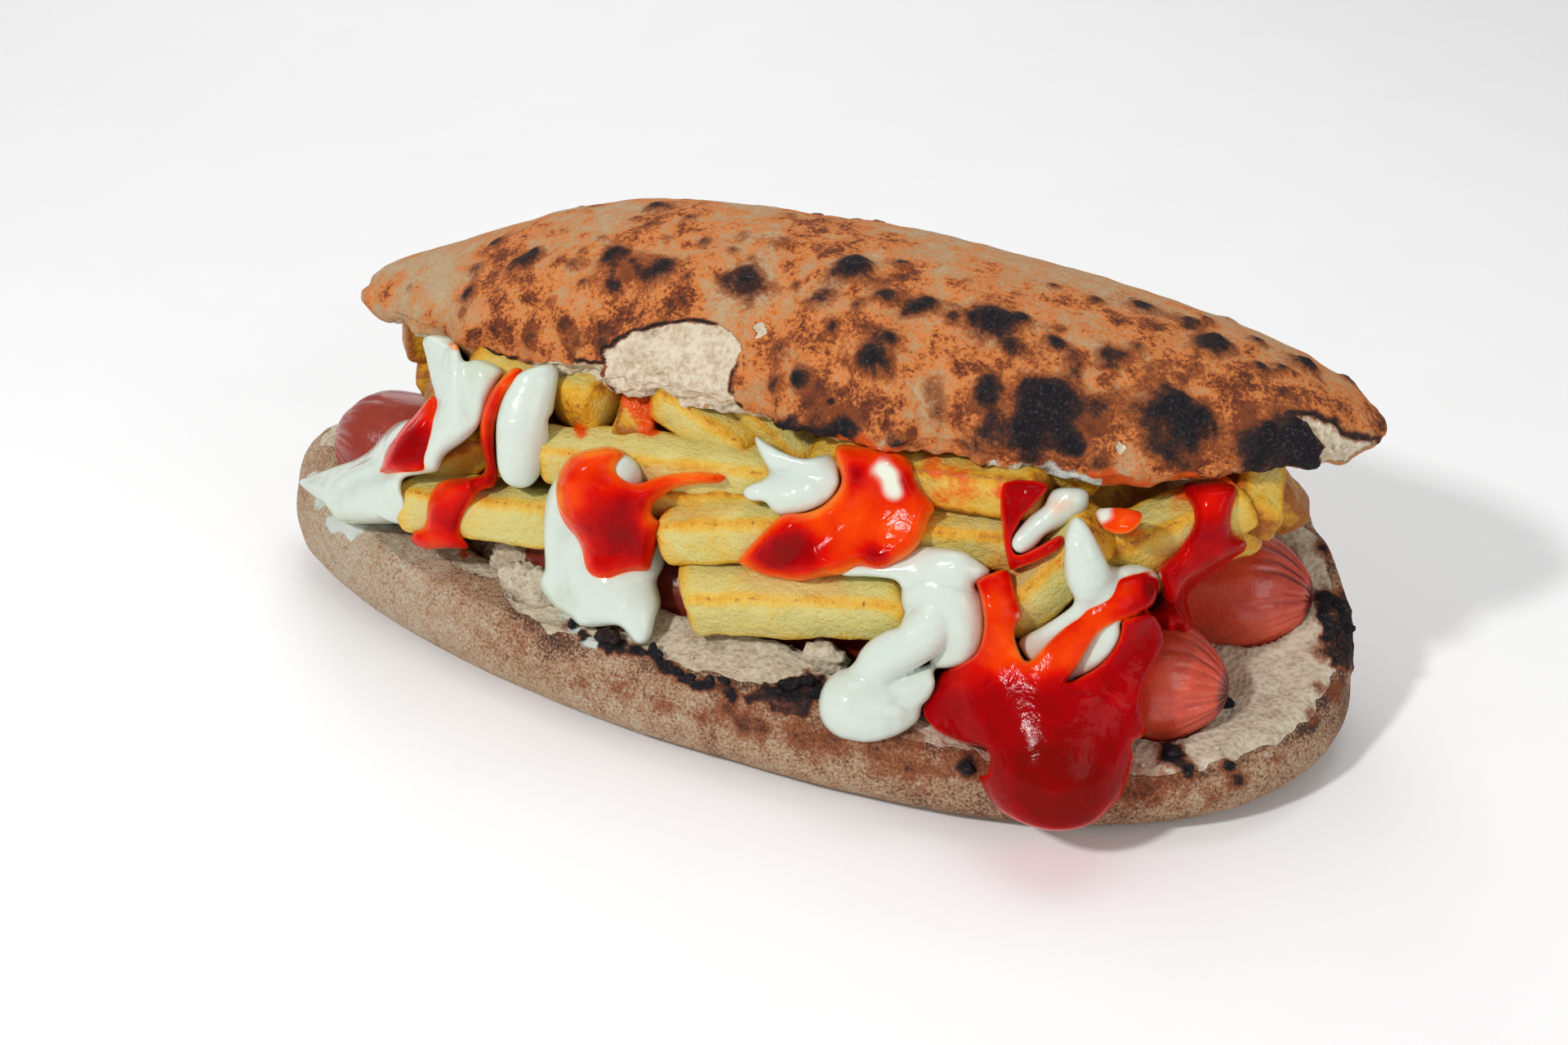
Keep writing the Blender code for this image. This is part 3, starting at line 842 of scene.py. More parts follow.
@dataclass(frozen=True)
class PotatoFinish:
    """Fried potato: pale faces, golden edges, browned crisp bits and ketchup stains.

    The mesh marks "edge" for corners and ends, "tone" for how fried it is and "stain" for
    thin ketchup. Some dark tones and one stain spot are painted shade.
    """

    name: str = "fried_potato_looks"
    pale: Colour = shade(208, 195, 120)
    yellow: Colour = shade(217, 182, 80)
    gold: Colour = shade(214, 158, 34)
    brown: Colour = shade(158, 92, 22)
    ketchup: Colour = shade(226, 84, 14)

    def material(self) -> bpy.types.Material:
        """Put the potato's material together.

        Returns:
            The finished material.
        """
        mix = Recipe(self.name)
        broad = mix.noise(9.0, 3.0, 0.5)
        cooked = mix.noise(2.4, 4.0, 0.65)
        grain = mix.noise(0.9, 2.0, 0.6)
        # The "tone" mark carries painted shade for a few shaded fries and the core.
        fried = mix.mixture(mix.mark("tone"), (broad, 0.9), (cooked, 0.7), (grain, 0.25))
        fried = mix.plus(fried, mix.times(mix.mark("edge"), 0.55))
        colour = mix.ramp(fried, ((0.12, self.pale), (0.42, self.yellow), (0.72, self.gold),
                                  (1.0, self.brown)))
        crisp = mix.mixture(mix.mark("edge"), (mix.noise(1.6, 4.0, 0.7), 1.8))
        colour = mix.blend(mix.rise(crisp, 0.98, 1.28), colour, self.brown)
        stain = mix.rise(mix.mixture(mix.mark("stain"), (cooked, 0.8), (broad, 0.8)), 0.2, 0.7)
        colour = mix.blend(stain, colour, self.ketchup)
        gloss = mix.minus(0.46, mix.times(stain, 0.26))
        normal = mix.relief(cooked, 0.8)
        normal = mix.relief(grain, 0.35, normal)
        mix.set(Base_Color=colour, Roughness=gloss, Normal=normal, Specular_IOR_Level=0.3,
                Subsurface_Weight=0.12, Subsurface_Radius=(1.0, 0.6, 0.2),
                Subsurface_Scale=0.002)
        return mix.material


@dataclass(frozen=True)
class SkinFinish:
    """A frankfurter's glossy skin, with painted shade from the fold colour where the mesh marks
    "fold": folds, tips and shaded stretches.
    """

    name: str = "frankfurter_looks"
    bright: Colour = shade(212, 84, 56)
    deep: Colour = shade(188, 60, 38)
    # Painted shade colour for the folds, the pinched tips and the shaded stretches.
    folds: Colour = shade(96, 24, 16)

    def material(self) -> bpy.types.Material:
        """Put the skin's material together.

        Returns:
            The finished material.
        """
        mix = Recipe(self.name)
        broad = mix.noise(8.0, 4.0, 0.6)
        fine = mix.noise(0.8, 3.0, 0.6)
        tone = mix.mixture(broad, (fine, 0.35))
        colour = mix.blend(mix.rise(tone, 0.3, 0.72), self.deep, self.bright)
        # Painted shade: the fold colour laid over the skin by the "fold" mark.
        colour = mix.blend(mix.rise(mix.mark("fold"), 0.25, 1.0), colour, self.folds)
        gloss = mix.plus(mix.times(fine, 0.16), 0.2)
        normal = mix.relief(broad, 0.3)
        normal = mix.relief(fine, 0.10, normal)
        mix.set(Base_Color=colour, Roughness=gloss, Normal=normal, Specular_IOR_Level=0.4,
                Subsurface_Weight=0.1, Subsurface_Radius=(1.0, 0.3, 0.2), Subsurface_Scale=0.002,
                Coat_Weight=0.25, Coat_Roughness=0.12)
        return mix.material


@dataclass(frozen=True)
class KetchupFinish:
    """Ketchup: deep red where thick, orange where "thin", with mayonnaise at "cream"."""

    name: str = "ketchup_looks"
    brown: Colour = shade(118, 8, 4)
    deep: Colour = shade(156, 0, 6)
    red: Colour = shade(206, 14, 2)
    orange: Colour = shade(232, 66, 4)
    pale: Colour = shade(244, 128, 36)
    cream: Colour = shade(222, 226, 208)

    def material(self) -> bpy.types.Material:
        """Put the ketchup's material together.

        Returns:
            The finished material.
        """
        mix = Recipe(self.name)
        waves = mix.noise(5.0, 2.0, 0.5, 0.8)
        specks = mix.noise(0.7, 3.0, 0.65)
        thin = mix.mixture(mix.mark("thin"), (waves, 0.3), (specks, 0.12))
        colour = mix.ramp(thin, ((0.0, self.brown), (0.22, self.deep), (0.46, self.red),
                                 (0.74, self.orange), (1.0, self.pale)))
        creamy = mix.rise(mix.mixture(mix.mark("cream"), (waves, 0.3)), 0.12, 0.95)
        colour = mix.blend(creamy, colour, self.cream)
        normal = mix.relief(waves, 0.4)
        normal = mix.relief(specks, 0.04, normal)
        gloss = mix.plus(mix.times(specks, 0.1), 0.05)
        mix.set(Base_Color=colour, Roughness=gloss, Normal=normal, Specular_IOR_Level=0.07)
        return mix.material


@dataclass(frozen=True)
class MayonnaiseFinish:
    """Mayonnaise: faintly green cream; "thin" darkens and yellows it at thin edges and as painted
    shade.
    """

    name: str = "mayonnaise_looks"
    light: Colour = shade(204, 215, 204)
    # Colour of thin edges, and of painted shade.
    dark: Colour = shade(186, 194, 168)
    stained: Colour = shade(236, 150, 84)

    def material(self) -> bpy.types.Material:
        """Put the mayonnaise's material together.

        Returns:
            The finished material.
        """
        mix = Recipe(self.name)
        waves = mix.noise(7.0, 3.0, 0.5)
        fine = mix.noise(1.2, 3.0, 0.6)
        tone = mix.mixture(mix.mark("thin"), (waves, 0.9), (fine, 0.2))
        colour = mix.blend(mix.rise(tone, 0.2, 1.0), self.light, self.dark)
        # The "stain" mark holds ketchup stains and, in a few spots, painted shade.
        stain = mix.rise(mix.mixture(mix.mark("stain"), (waves, 0.6)), 0.25, 0.9)
        colour = mix.blend(stain, colour, self.stained)
        normal = mix.relief(waves, 0.5)
        normal = mix.relief(fine, 0.05, normal)
        gloss = mix.plus(mix.times(fine, 0.12), 0.10)
        mix.set(Base_Color=colour, Roughness=gloss, Normal=normal, Specular_IOR_Level=0.4,
                Subsurface_Weight=0.15, Subsurface_Radius=(1.0, 0.9, 0.7),
                Subsurface_Scale=0.002)
        return mix.material


UPPER_CRUST = CrustFinish(
    "upper_crust_looks", flour=shade(184, 158, 124), tan=shade(188, 140, 96),
    amber=shade(210, 124, 62), brown=shade(124, 62, 36), dark=shade(72, 40, 30),
    grain_size=0.8, grain=1.15, mottle_size=3.6, mottle=1.15)
LOWER_CRUST = CrustFinish(
    "lower_crust_looks", flour=shade(188, 174, 154), tan=shade(176, 148, 118),
    amber=shade(168, 128, 98), brown=shade(116, 86, 68), dark=shade(66, 48, 42),
    grain_size=0.62, grain=2.4, mottle_size=3.4, mottle=0.9, specks=0.8,
    crumb_light=shade(204, 192, 170), crumb_dark=shade(166, 148, 122))


class Slot(Enum):
    """The material slots, each with the finish that dresses it."""

    CRUST = "crust"
    PALE_CRUST = "pale_crust"
    SKIN = "frankfurter_skin"
    POTATO = "fried_potato"
    MAYONNAISE = "mayonnaise"
    KETCHUP = "ketchup"


FINISHES = {
    Slot.CRUST: UPPER_CRUST,
    Slot.PALE_CRUST: LOWER_CRUST,
    Slot.SKIN: SkinFinish(),
    Slot.POTATO: PotatoFinish(),
    Slot.MAYONNAISE: MayonnaiseFinish(),
    Slot.KETCHUP: KetchupFinish(),
}


class Larder:
    """Keeps one material for each slot."""

    def __init__(self) -> None:
        """Put every slot's material together."""
        self.materials = {slot: finish.material() for slot, finish in FINISHES.items()}

    def dress(self, piece: bpy.types.Object, slot: Slot, *nodes: str) -> bpy.types.Object:
        """Hide the CAD nodes that a piece stands for.

        Args:
            piece: A finished piece.
            slot: Not used.
            nodes: CAD nodes that it replaces.

        Returns:
            The same piece.
        """
        if nodes:
            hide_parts(*nodes)
        return piece


# Solids that carry the sauces ---


class Carrier(Protocol):
    """Anything that a sauce can lie on."""

    def distance(self, points: Array) -> Array:
        """Measure to its skin, below 0 inside."""

    def box(self) -> Box:
        """Return the box that holds it."""


@dataclass(frozen=True)
class Rod:
    """A straight round rod with domed ends."""

    start: Point
    end: Point
    radius: float

    def distance(self, points: Array) -> Array:
        """Measure to the rod's skin: the distance to its axis less its radius."""
        start, axis = np.array(self.start), np.subtract(self.end, self.start)
        part = np.clip((points - start) @ axis / (axis @ axis), 0, 1)
        return np.linalg.norm(points - start - part[..., None] * axis, axis=-1) - self.radius

    def box(self) -> Box:
        """Return the box that holds the rod."""
        return box_round((self.start, self.end), self.radius)

    def sink(self, points: Array, gap: float) -> Array:
        """Lower points that lie in the rod's plan until they are under it.

        Under the rod, its skin lies the square root of radius squared less the plan
        distance squared below its axis.

        Args:
            points: Places that may lie in the rod or over it.
            gap: Distance that they keep below its skin.

        Returns:
            The places after the move.
        """
        start, axis = np.array(self.start), np.subtract(self.end, self.start)
        part = np.clip((points - start) @ axis / (axis @ axis), 0, 1)
        nearest = start + part[..., None] * axis
        reach = np.hypot(*np.moveaxis(points - nearest, -1, 0)[:2])
        under = nearest[..., 2] - np.sqrt(np.clip(self.radius**2 - reach**2, 0, None)) - gap
        moved = points.copy()
        moved[..., 2] = np.where(reach < self.radius, np.minimum(points[..., 2], under),
                                 points[..., 2])
        return moved


REAR_ROD = Rod((-100.6, 2.53, 30.97), (100.6, 10.47, 30.53), 13.4)
FRONT_ROD = Rod((-41.2, -22.0, 24.67), (90.2, -22.0, 25.43), 12.8)


def hill(angles: Array, at: float, width: float) -> Array:
    """Raise a smooth hill of height 1 round one angle.

    Args:
        angles: Angles in radians.
        at: The hill's middle.
        width: Angle at which it has fallen to about a third.

    Returns:
        Heights from 0 to 1.
    """
    turned = (angles - at + math.pi) % (2 * math.pi) - math.pi
    return np.exp(-((turned / width)**2))


@dataclass(frozen=True)
class Leaf:
    """A leaf-shaped outline, pointed on its left and blunt on its right.

    x is the half length times the angle's cosine. y is the half width, tapered along x,
    times the square root of 1 less a power of that cosine.
    """

    centre: tuple[float, float]
    half_length: float
    half_width: float
    taper: float
    powers: tuple[float, float]
    rear_share: float

    def edge(self, angles: Array) -> tuple[Array, Array]:
        """Find the outline's points.

        Args:
            angles: Angles in radians.

        Returns:
            x and y.
        """
        along, side = np.cos(angles), np.sin(angles)
        power = np.where(along < 0, *self.powers)
        half = self.half_width * (1 + self.taper * along)
        half = half * np.sqrt(1 - np.minimum(np.abs(along), 1)**power)
        half = half * np.where(side < 0, 1.0, self.rear_share)
        return (self.centre[0] + self.half_length * along, self.centre[1] + np.sign(side) * half)

    def even_angles(self, columns: int) -> Array:
        """Space angles evenly along the outline, closer together on its front side.

        Args:
            columns: How many angles.

        Returns:
            Angles in radians, from -pi up.
        """
        fine = np.linspace(-math.pi, math.pi, 4001)
        x, y = self.edge(fine)
        middle = (fine[1:] + fine[:-1]) / 2
        crowding = 1 + 0.7 * np.clip(-2 * np.sin(middle), 0, 1)
        run = np.concatenate([[0], np.cumsum(np.hypot(np.diff(x), np.diff(y)) * crowding)])
        return np.interp(np.linspace(0, run[-1], columns, endpoint=False), run, fine)

    def drawn_in(self, x: Array, y: Array, share: Array) -> tuple[Array, Array]:
        """Draw points in towards the centre, to a share of their distance from it.

        Args:
            x: First coordinate of the outline's points.
            y: Second coordinate.
            share: The shares.

        Returns:
            x and y.
        """
        middle_x, middle_y = self.centre
        return middle_x + (x - middle_x) * share, middle_y + (y - middle_y) * share

    def inset_reach(self, x: Array, y: Array) -> Array:
        """Return the distance over which an inset from the outline is measured."""
        reach = np.hypot(x - self.centre[0], y - self.centre[1])
        flank = np.clip(np.abs(y - self.centre[1]) / 40.0, 0.35, 1.0)
        return np.maximum(reach * 0.5 + 28.0 * flank, 30.0)


@dataclass(frozen=True)
class Scorch:
    """A burnt spot, where the photograph shows it: pixels across, down and of radius."""

    across: float
    down: float
    radius: float
    depth: float


Spot = tuple[Array, float, float]


def spot_table(*rows: tuple[float, float, float, float]) -> tuple[Scorch, ...]:
    """Take rows of pixels across, down and of radius, and of depth, as spots."""
    return tuple(Scorch(*row) for row in rows)


def seen_spots(points: Array, facing: Array, scorches: tuple[Scorch, ...]) -> list[Spot]:
    """Bring spots from the photograph onto a surface.

    Args:
        points: The surface's points.
        facing: How much each one's surface faces the camera.
        scorches: The spots as the photograph shows them.

    Returns:
        For each, its middle on the surface, its reach in millimetres and its depth.
    """
    return [(VIEW.find(points, facing, spot.across, spot.down),
             spot.radius / VIEW.scale() * SPOT_SHARE, spot.depth) for spot in scorches]


def spot_shades(points: Array, spots: tuple[Scorch, ...]) -> Array:
    """Add up soft spots that lie where the photograph shows them.

    Args:
        points: Places in the working frame.
        spots: The spots, each with the value at its middle as its depth.

    Returns:
        The sum at each point.
    """
    across, down = VIEW.project(points)
    across = across + SHADE_WAVER * soft_noise(points, SHADE_WAVER_SIZE, 301)
    down = down + SHADE_WAVER * soft_noise(points, SHADE_WAVER_SIZE, 303)
    total = np.zeros(across.shape)
    for spot in spots:
        far = np.hypot(across - spot.across, down - spot.down) / spot.radius
        total = total + spot.depth * np.exp(-(far**2.3))
    return total


def scattered_spots(points: Array, allowed: Array, count: int, largest: float,
                    seed: int) -> list[Spot]:
    """Scatter burnt spots over a side of a surface that the photograph doesn't show.

    Args:
        points: The surface's points.
        allowed: Which of them may be a spot's middle.
        count: How many spots.
        largest: The greatest reach in millimetres.
        seed: Chooses the places.

    Returns:
        For each, its middle on the surface, its reach in millimetres and its depth.
    """
    chance = np.random.default_rng(seed)
    picks = chance.choice(np.flatnonzero(allowed.ravel()), count, replace=False)
    middles = points.reshape(-1, 3)[picks]
    reaches = largest * (0.3 + 0.7 * chance.random(count)**2)
    depths = 0.55 + 0.45 * chance.random(count)
    return list(zip(middles, reaches, depths))


def spread_spots(points: Array, spots: list[Spot], seed: int) -> Array:
    """Spread spots over a surface, ragged by noise and merged where they meet.

    Each spot fades as a bell round its middle.

    Args:
        points: The surface's points.
        spots: Middles, reaches and depths.
        seed: Chooses the raggedness.

    Returns:
        How deep the spots are at each point, from 0 to 1.
    """
    ragged = 1 + layered(points, ((0.34, 4.0, seed), (0.18, 1.8, seed + 1)))
    clean = np.ones(points.shape[:-1])
    for middle, reach, depth in spots:
        far = np.linalg.norm(points - middle, axis=-1) * ragged / reach
        clean = clean * (1 - depth * np.exp(-(far**1.9) * 0.9))
    return 1 - clean


# Bread ---


class Skin:
    """A bread half's skin while it is being shaped: rings of points and what they show."""

    def __init__(self, grid: Array, poles: tuple[Array, Array]) -> None:
        """Take the rings and the two poles of a plain form."""
        self.grid = grid
        self.poles = poles
        self.normals = grid_normals(grid)
        self.facing = self.normals @ VIEW.axes()[2]

    def swell(self, heights: Array) -> None:
        """Move each point along its outward direction by a height."""
        self.grid = self.grid + self.normals * heights[..., None]

    def turn_outward(self) -> None:
        """Flip the outward directions if the middle ring's point at its axis."""
        middle = len(self.grid) // 2
        if self.normals[middle, 0] @ self.grid[middle, 0] < 0:
            self.normals = -self.normals

    def place(self, turn: Array, middle: Array) -> None:
        """Turn a skin that was shaped round the origin, and move it.

        Args:
            turn: Its new directions, as columns.
            middle: Its new middle.
        """
        self.grid = self.grid @ turn.T + middle
        self.poles = tuple(pole @ turn.T + middle for pole in self.poles)

    def write(self, name: str, material: bpy.types.Material,
              marks: dict[str, Array]) -> bpy.types.Object:
        """Write the skin into a piece.

        Args:
            name: The piece's name.
            material: Its material.
            marks: What the material reads, as rows and columns.

        Returns:
            The new piece.
        """
        rows, columns = self.grid.shape[:2]
        corners = np.concatenate([self.grid.reshape(-1, 3), *(p[None] for p in self.poles)])
        full = {mark: np.concatenate([values.ravel(), values[0, :1], values[-1, :1]])
                for mark, values in marks.items()}
        return make_piece(name, corners, globe_faces(rows, columns), material, full)


LOWER_SCORCHES = spot_table(
    (893, 866, 20, 0.55), (927, 886, 22, 0.6), (752, 770, 14, 0.6), (700, 765, 14, 0.6),
    (1024, 900, 20, 0.5), (1072, 912, 22, 0.45), (814, 865, 22, 0.35), (635, 787, 30, 0.3),
    (708, 838, 30, 0.3), (482, 693, 30, 0.16), (760, 845, 24, 0.35), (1110, 905, 18, 0.5),
    (1186, 940, 16, 0.95), (1160, 930, 16, 0.4), (1095, 935, 30, 0.35), (1433, 927, 14, 1.0),
    (1452, 945, 10, 1.0), (1505, 938, 9, 1.0), (1516, 955, 11, 1.0), (1381, 974, 22, 0.5),
    (1414, 968, 22, 0.5), (1633, 736, 18, 1.0), (1643, 770, 20, 1.0), (1652, 808, 14, 0.9),
    (1619, 800, 12, 0.7), (1614, 841, 12, 0.6), (1606, 879, 10, 0.5), (1560, 930, 12, 0.4),
    (1640, 850, 14, 0.5), (560, 735, 24, 0.2), (1250, 985, 30, 0.4), (1480, 975, 22, 0.35),
    (1000, 905, 24, 0.4), (860, 880, 22, 0.35), (1130, 950, 26, 0.3), (970, 900, 22, 0.4),
)
CHARRED_OUTLINES = (
    ((700, 752), (708, 768), (722, 782), (745, 786), (765, 789), (785, 795), (805, 798),
     (815, 808), (828, 820), (845, 828), (862, 831), (882, 830), (897, 838), (905, 852),
     (898, 862), (885, 853), (868, 847), (848, 843), (828, 834), (812, 823), (798, 810),
     (780, 803), (756, 799), (732, 797), (714, 786), (702, 772)),
    ((905, 850), (925, 846), (945, 842), (958, 830), (975, 832), (990, 826), (1006, 832),
     (1008, 850), (1000, 868), (985, 880), (962, 878), (950, 868), (935, 860), (915, 862)),
    ((1415, 908), (1432, 904), (1448, 918), (1464, 935), (1460, 957), (1444, 950), (1428, 934)),
    ((1612, 728), (1640, 720), (1662, 733), (1664, 780), (1652, 818), (1632, 815), (1618, 780)),
)
LOWER_SMEARS = spot_table(
    (380, 592, 14, 1.0), (396, 610, 18, 1.0), (415, 632, 18, 1.0), (430, 655, 14, 0.8),
    (440, 640, 16, 0.9), (470, 640, 14, 0.8), (500, 642, 12, 0.7), (405, 640, 12, 0.7),
    (697, 752, 10, 0.9), (705, 772, 10, 0.9), (728, 786, 12, 0.9), (1258, 748, 8, 0.3),
)
LOWER_FILMS = spot_table(
    (572, 672, 10, 0.6), (1445, 770, 12, 0.7), (1415, 905, 9, 0.6), (500, 690, 8, 0.4),
)
UPPER_SMEARS = spot_table(
    (1212, 576, 12, 0.9), (1232, 586, 16, 1.0), (1255, 580, 16, 1.0), (1282, 585, 18, 1.0),
    (1310, 590, 16, 0.9), (1330, 598, 12, 0.8), (1345, 596, 8, 0.7), (1405, 600, 9, 0.8),
    (1010, 545, 8, 0.5),
)
UPPER_FILMS = spot_table(
    (1060, 546, 18, 0.9), (1095, 556, 16, 0.9), (1030, 540, 12, 0.7), (1365, 592, 22, 0.8),
    (1400, 598, 18, 0.6), (1445, 592, 20, 0.8), (1340, 585, 12, 0.5), (640, 448, 22, 0.5),
    (1465, 600, 14, 0.6),
)
UPPER_TOASTED = spot_table(
    (1260, 500, 100, 0.34), (1440, 520, 75, 0.30), (1560, 540, 60, 0.34), (1070, 440, 50, 0.16),
    (820, 375, 40, 0.06), (675, 420, 40, 0.16), (560, 300, 60, 0.10), (1010, 530, 60, 0.40),
    (910, 275, 90, -0.26), (1180, 345, 130, -0.20), (530, 350, 40, -0.34), (580, 325, 30, -0.30),
    (740, 375, 60, 0.06), (1050, 300, 60, -0.06), (1480, 470, 46, -0.12), (1340, 470, 40, -0.10),
    (1600, 480, 40, 0.12), (980, 440, 50, 0.02), (700, 260, 60, -0.10), (640, 350, 40, 0.04),
    (1010, 420, 60, -0.10), (1130, 505, 60, -0.12), (1365, 560, 40, -0.14), (1500, 480, 50, -0.06),
)
LOWER_TOASTED = spot_table(
    (600, 715, 36, 0.16), (655, 755, 30, 0.34), (690, 790, 30, 0.24), (560, 690, 22, 0.12),
    (420, 690, 50, -0.10), (500, 680, 40, -0.10), (780, 830, 40, 0.08), (900, 885, 50, 0.14),
    (1010, 905, 40, 0.18), (1120, 935, 46, 0.14), (1260, 1000, 60, 0.12), (1420, 985, 60, 0.10),
    (1560, 950, 50, 0.08), (1640, 870, 50, 0.16), (1615, 800, 20, 0.4), (1606, 850, 18, 0.3),
    (620, 800, 50, 0.06), (820, 905, 50, -0.10),
)
UPPER_SCORCHES = spot_table(
    (655, 315, 17, 1.0), (634, 328, 20, 0.7), (609, 303, 20, 0.75), (752, 315, 21, 0.95),
    (811, 334, 22, 0.9), (790, 340, 14, 0.7), (842, 340, 9, 0.7), (913, 342, 24, 1.0),
    (890, 344, 12, 0.7), (1045, 328, 27, 1.0), (863, 299, 12, 0.7), (844, 270, 12, 0.65),
    (807, 255, 18, 0.75), (780, 270, 10, 0.5), (796, 279, 9, 0.6), (817, 292, 11, 0.5),
    (737, 293, 9, 0.5), (712, 308, 8, 0.5), (702, 325, 12, 0.6), (584, 328, 12, 0.6),
    (573, 363, 13, 0.8), (569, 382, 14, 0.5), (713, 345, 9, 0.6), (752, 352, 13, 0.8),
    (799, 370, 12, 0.75), (896, 309, 10, 0.5), (921, 318, 7, 0.4), (957, 301, 18, 0.5),
    (975, 351, 9, 0.6), (1005, 367, 16, 0.75), (965, 378, 8, 0.7), (1050, 375, 9, 0.6),
    (1019, 403, 13, 0.8), (982, 407, 8, 0.6), (957, 426, 16, 0.55), (982, 463, 16, 0.95),
    (952, 470, 16, 0.7), (652, 413, 14, 0.65), (702, 417, 18, 0.6), (738, 420, 12, 0.8),
    (786, 392, 4, 1.0), (1021, 492, 6, 1.0), (727, 257, 14, 0.5), (690, 284, 9, 0.4),
    (673, 372, 9, 0.4), (502, 351, 10, 0.4), (846, 284, 8, 0.45), (911, 290, 10, 0.4),
    (1052, 297, 8, 0.4), (967, 265, 12, 0.5), (1105, 326, 12, 0.8), (1090, 347, 8, 0.5),
    (1084, 367, 16, 0.85), (1136, 372, 14, 0.95), (1122, 381, 11, 0.9), (1167, 389, 11, 0.8),
    (1219, 395, 30, 1.0), (1240, 424, 14, 0.8), (1248, 391, 16, 0.9), (1192, 390, 14, 0.8),
    (1071, 441, 24, 1.0), (1088, 416, 12, 0.9), (1288, 420, 14, 0.9), (1298, 401, 10, 0.5),
    (1290, 352, 12, 0.7), (1244, 360, 10, 0.4), (1342, 370, 15, 0.75), (1398, 377, 20, 0.9),
    (1473, 389, 11, 0.6), (1459, 397, 16, 0.85), (1490, 424, 24, 0.95), (1471, 426, 18, 0.7),
    (1536, 418, 16, 0.85), (1392, 424, 14, 0.65), (1361, 441, 18, 0.8), (1313, 439, 14, 0.65),
    (1430, 445, 10, 0.5), (1430, 428, 7, 0.4), (1409, 453, 12, 0.5), (1540, 451, 14, 0.8),
    (1598, 451, 18, 0.95), (1569, 455, 12, 0.85), (1463, 453, 12, 0.5), (1211, 480, 20, 1.0),
    (1267, 503, 34, 1.0), (1290, 487, 28, 1.0), (1300, 522, 30, 0.85), (1257, 537, 28, 0.8),
    (1215, 528, 22, 0.75), (1315, 545, 10, 0.95), (1345, 500, 22, 0.6), (1390, 503, 16, 0.6),
    (1430, 501, 26, 1.0), (1469, 512, 22, 1.0), (1448, 522, 20, 0.95), (1407, 537, 20, 0.6),
    (1427, 553, 18, 0.75), (1457, 545, 18, 0.6), (1545, 545, 34, 1.0), (1585, 532, 26, 1.0),
    (1525, 562, 22, 0.85), (1600, 556, 20, 1.0), (1650, 466, 14, 0.8), (1140, 478, 14, 0.5),
    (1148, 507, 16, 0.5), (1102, 541, 13, 0.9), (1200, 572, 14, 1.0), (1344, 566, 16, 0.65),
    (1265, 562, 18, 0.6), (970, 521, 16, 0.95), (1000, 524, 16, 0.9), (1035, 520, 18, 0.9),
    (955, 515, 10, 0.9), (1120, 548, 10, 0.8), (1510, 380, 10, 0.5), (1185, 345, 9, 0.4),
)
UPPER_CHARRED = (
    ((943, 514), (958, 506), (985, 514), (1010, 516), (1040, 510), (1062, 520), (1058, 532),
     (1032, 540), (1000, 536), (965, 536), (948, 530)),
    ((1186, 566), (1205, 562), (1222, 570), (1214, 584), (1200, 586)),
    ((1522, 545), (1545, 520), (1580, 512), (1605, 530), (1620, 548), (1612, 570), (1590, 574),
     (1540, 576), (1520, 566)),
)
TORN_OUTLINES = (
    ((738, 434), (757, 415), (775, 407), (800, 402), (830, 396), (860, 396), (885, 402),
     (900, 412), (906, 425), (903, 445), (897, 462), (893, 478), (905, 495), (925, 508),
     (943, 520), (948, 532), (960, 538), (990, 541), (1030, 541), (1060, 543), (1086, 550),
     (1090, 600), (900, 580), (800, 520), (742, 470)),
    ((1578, 512), (1602, 511), (1630, 520), (1650, 538), (1684, 541), (1680, 556),
     (1645, 570), (1612, 572), (1618, 548), (1600, 528)),
    ((1371, 541), (1378, 551), (1371, 561), (1363, 551)),
    ((922, 398), (936, 396), (940, 408), (928, 414)),
    ((1225, 575), (1245, 566), (1262, 560), (1275, 568), (1290, 577), (1290, 600), (1225, 600)),
    ((590, 432), (625, 440), (660, 446), (700, 444), (738, 446), (738, 480), (590, 470)),
)


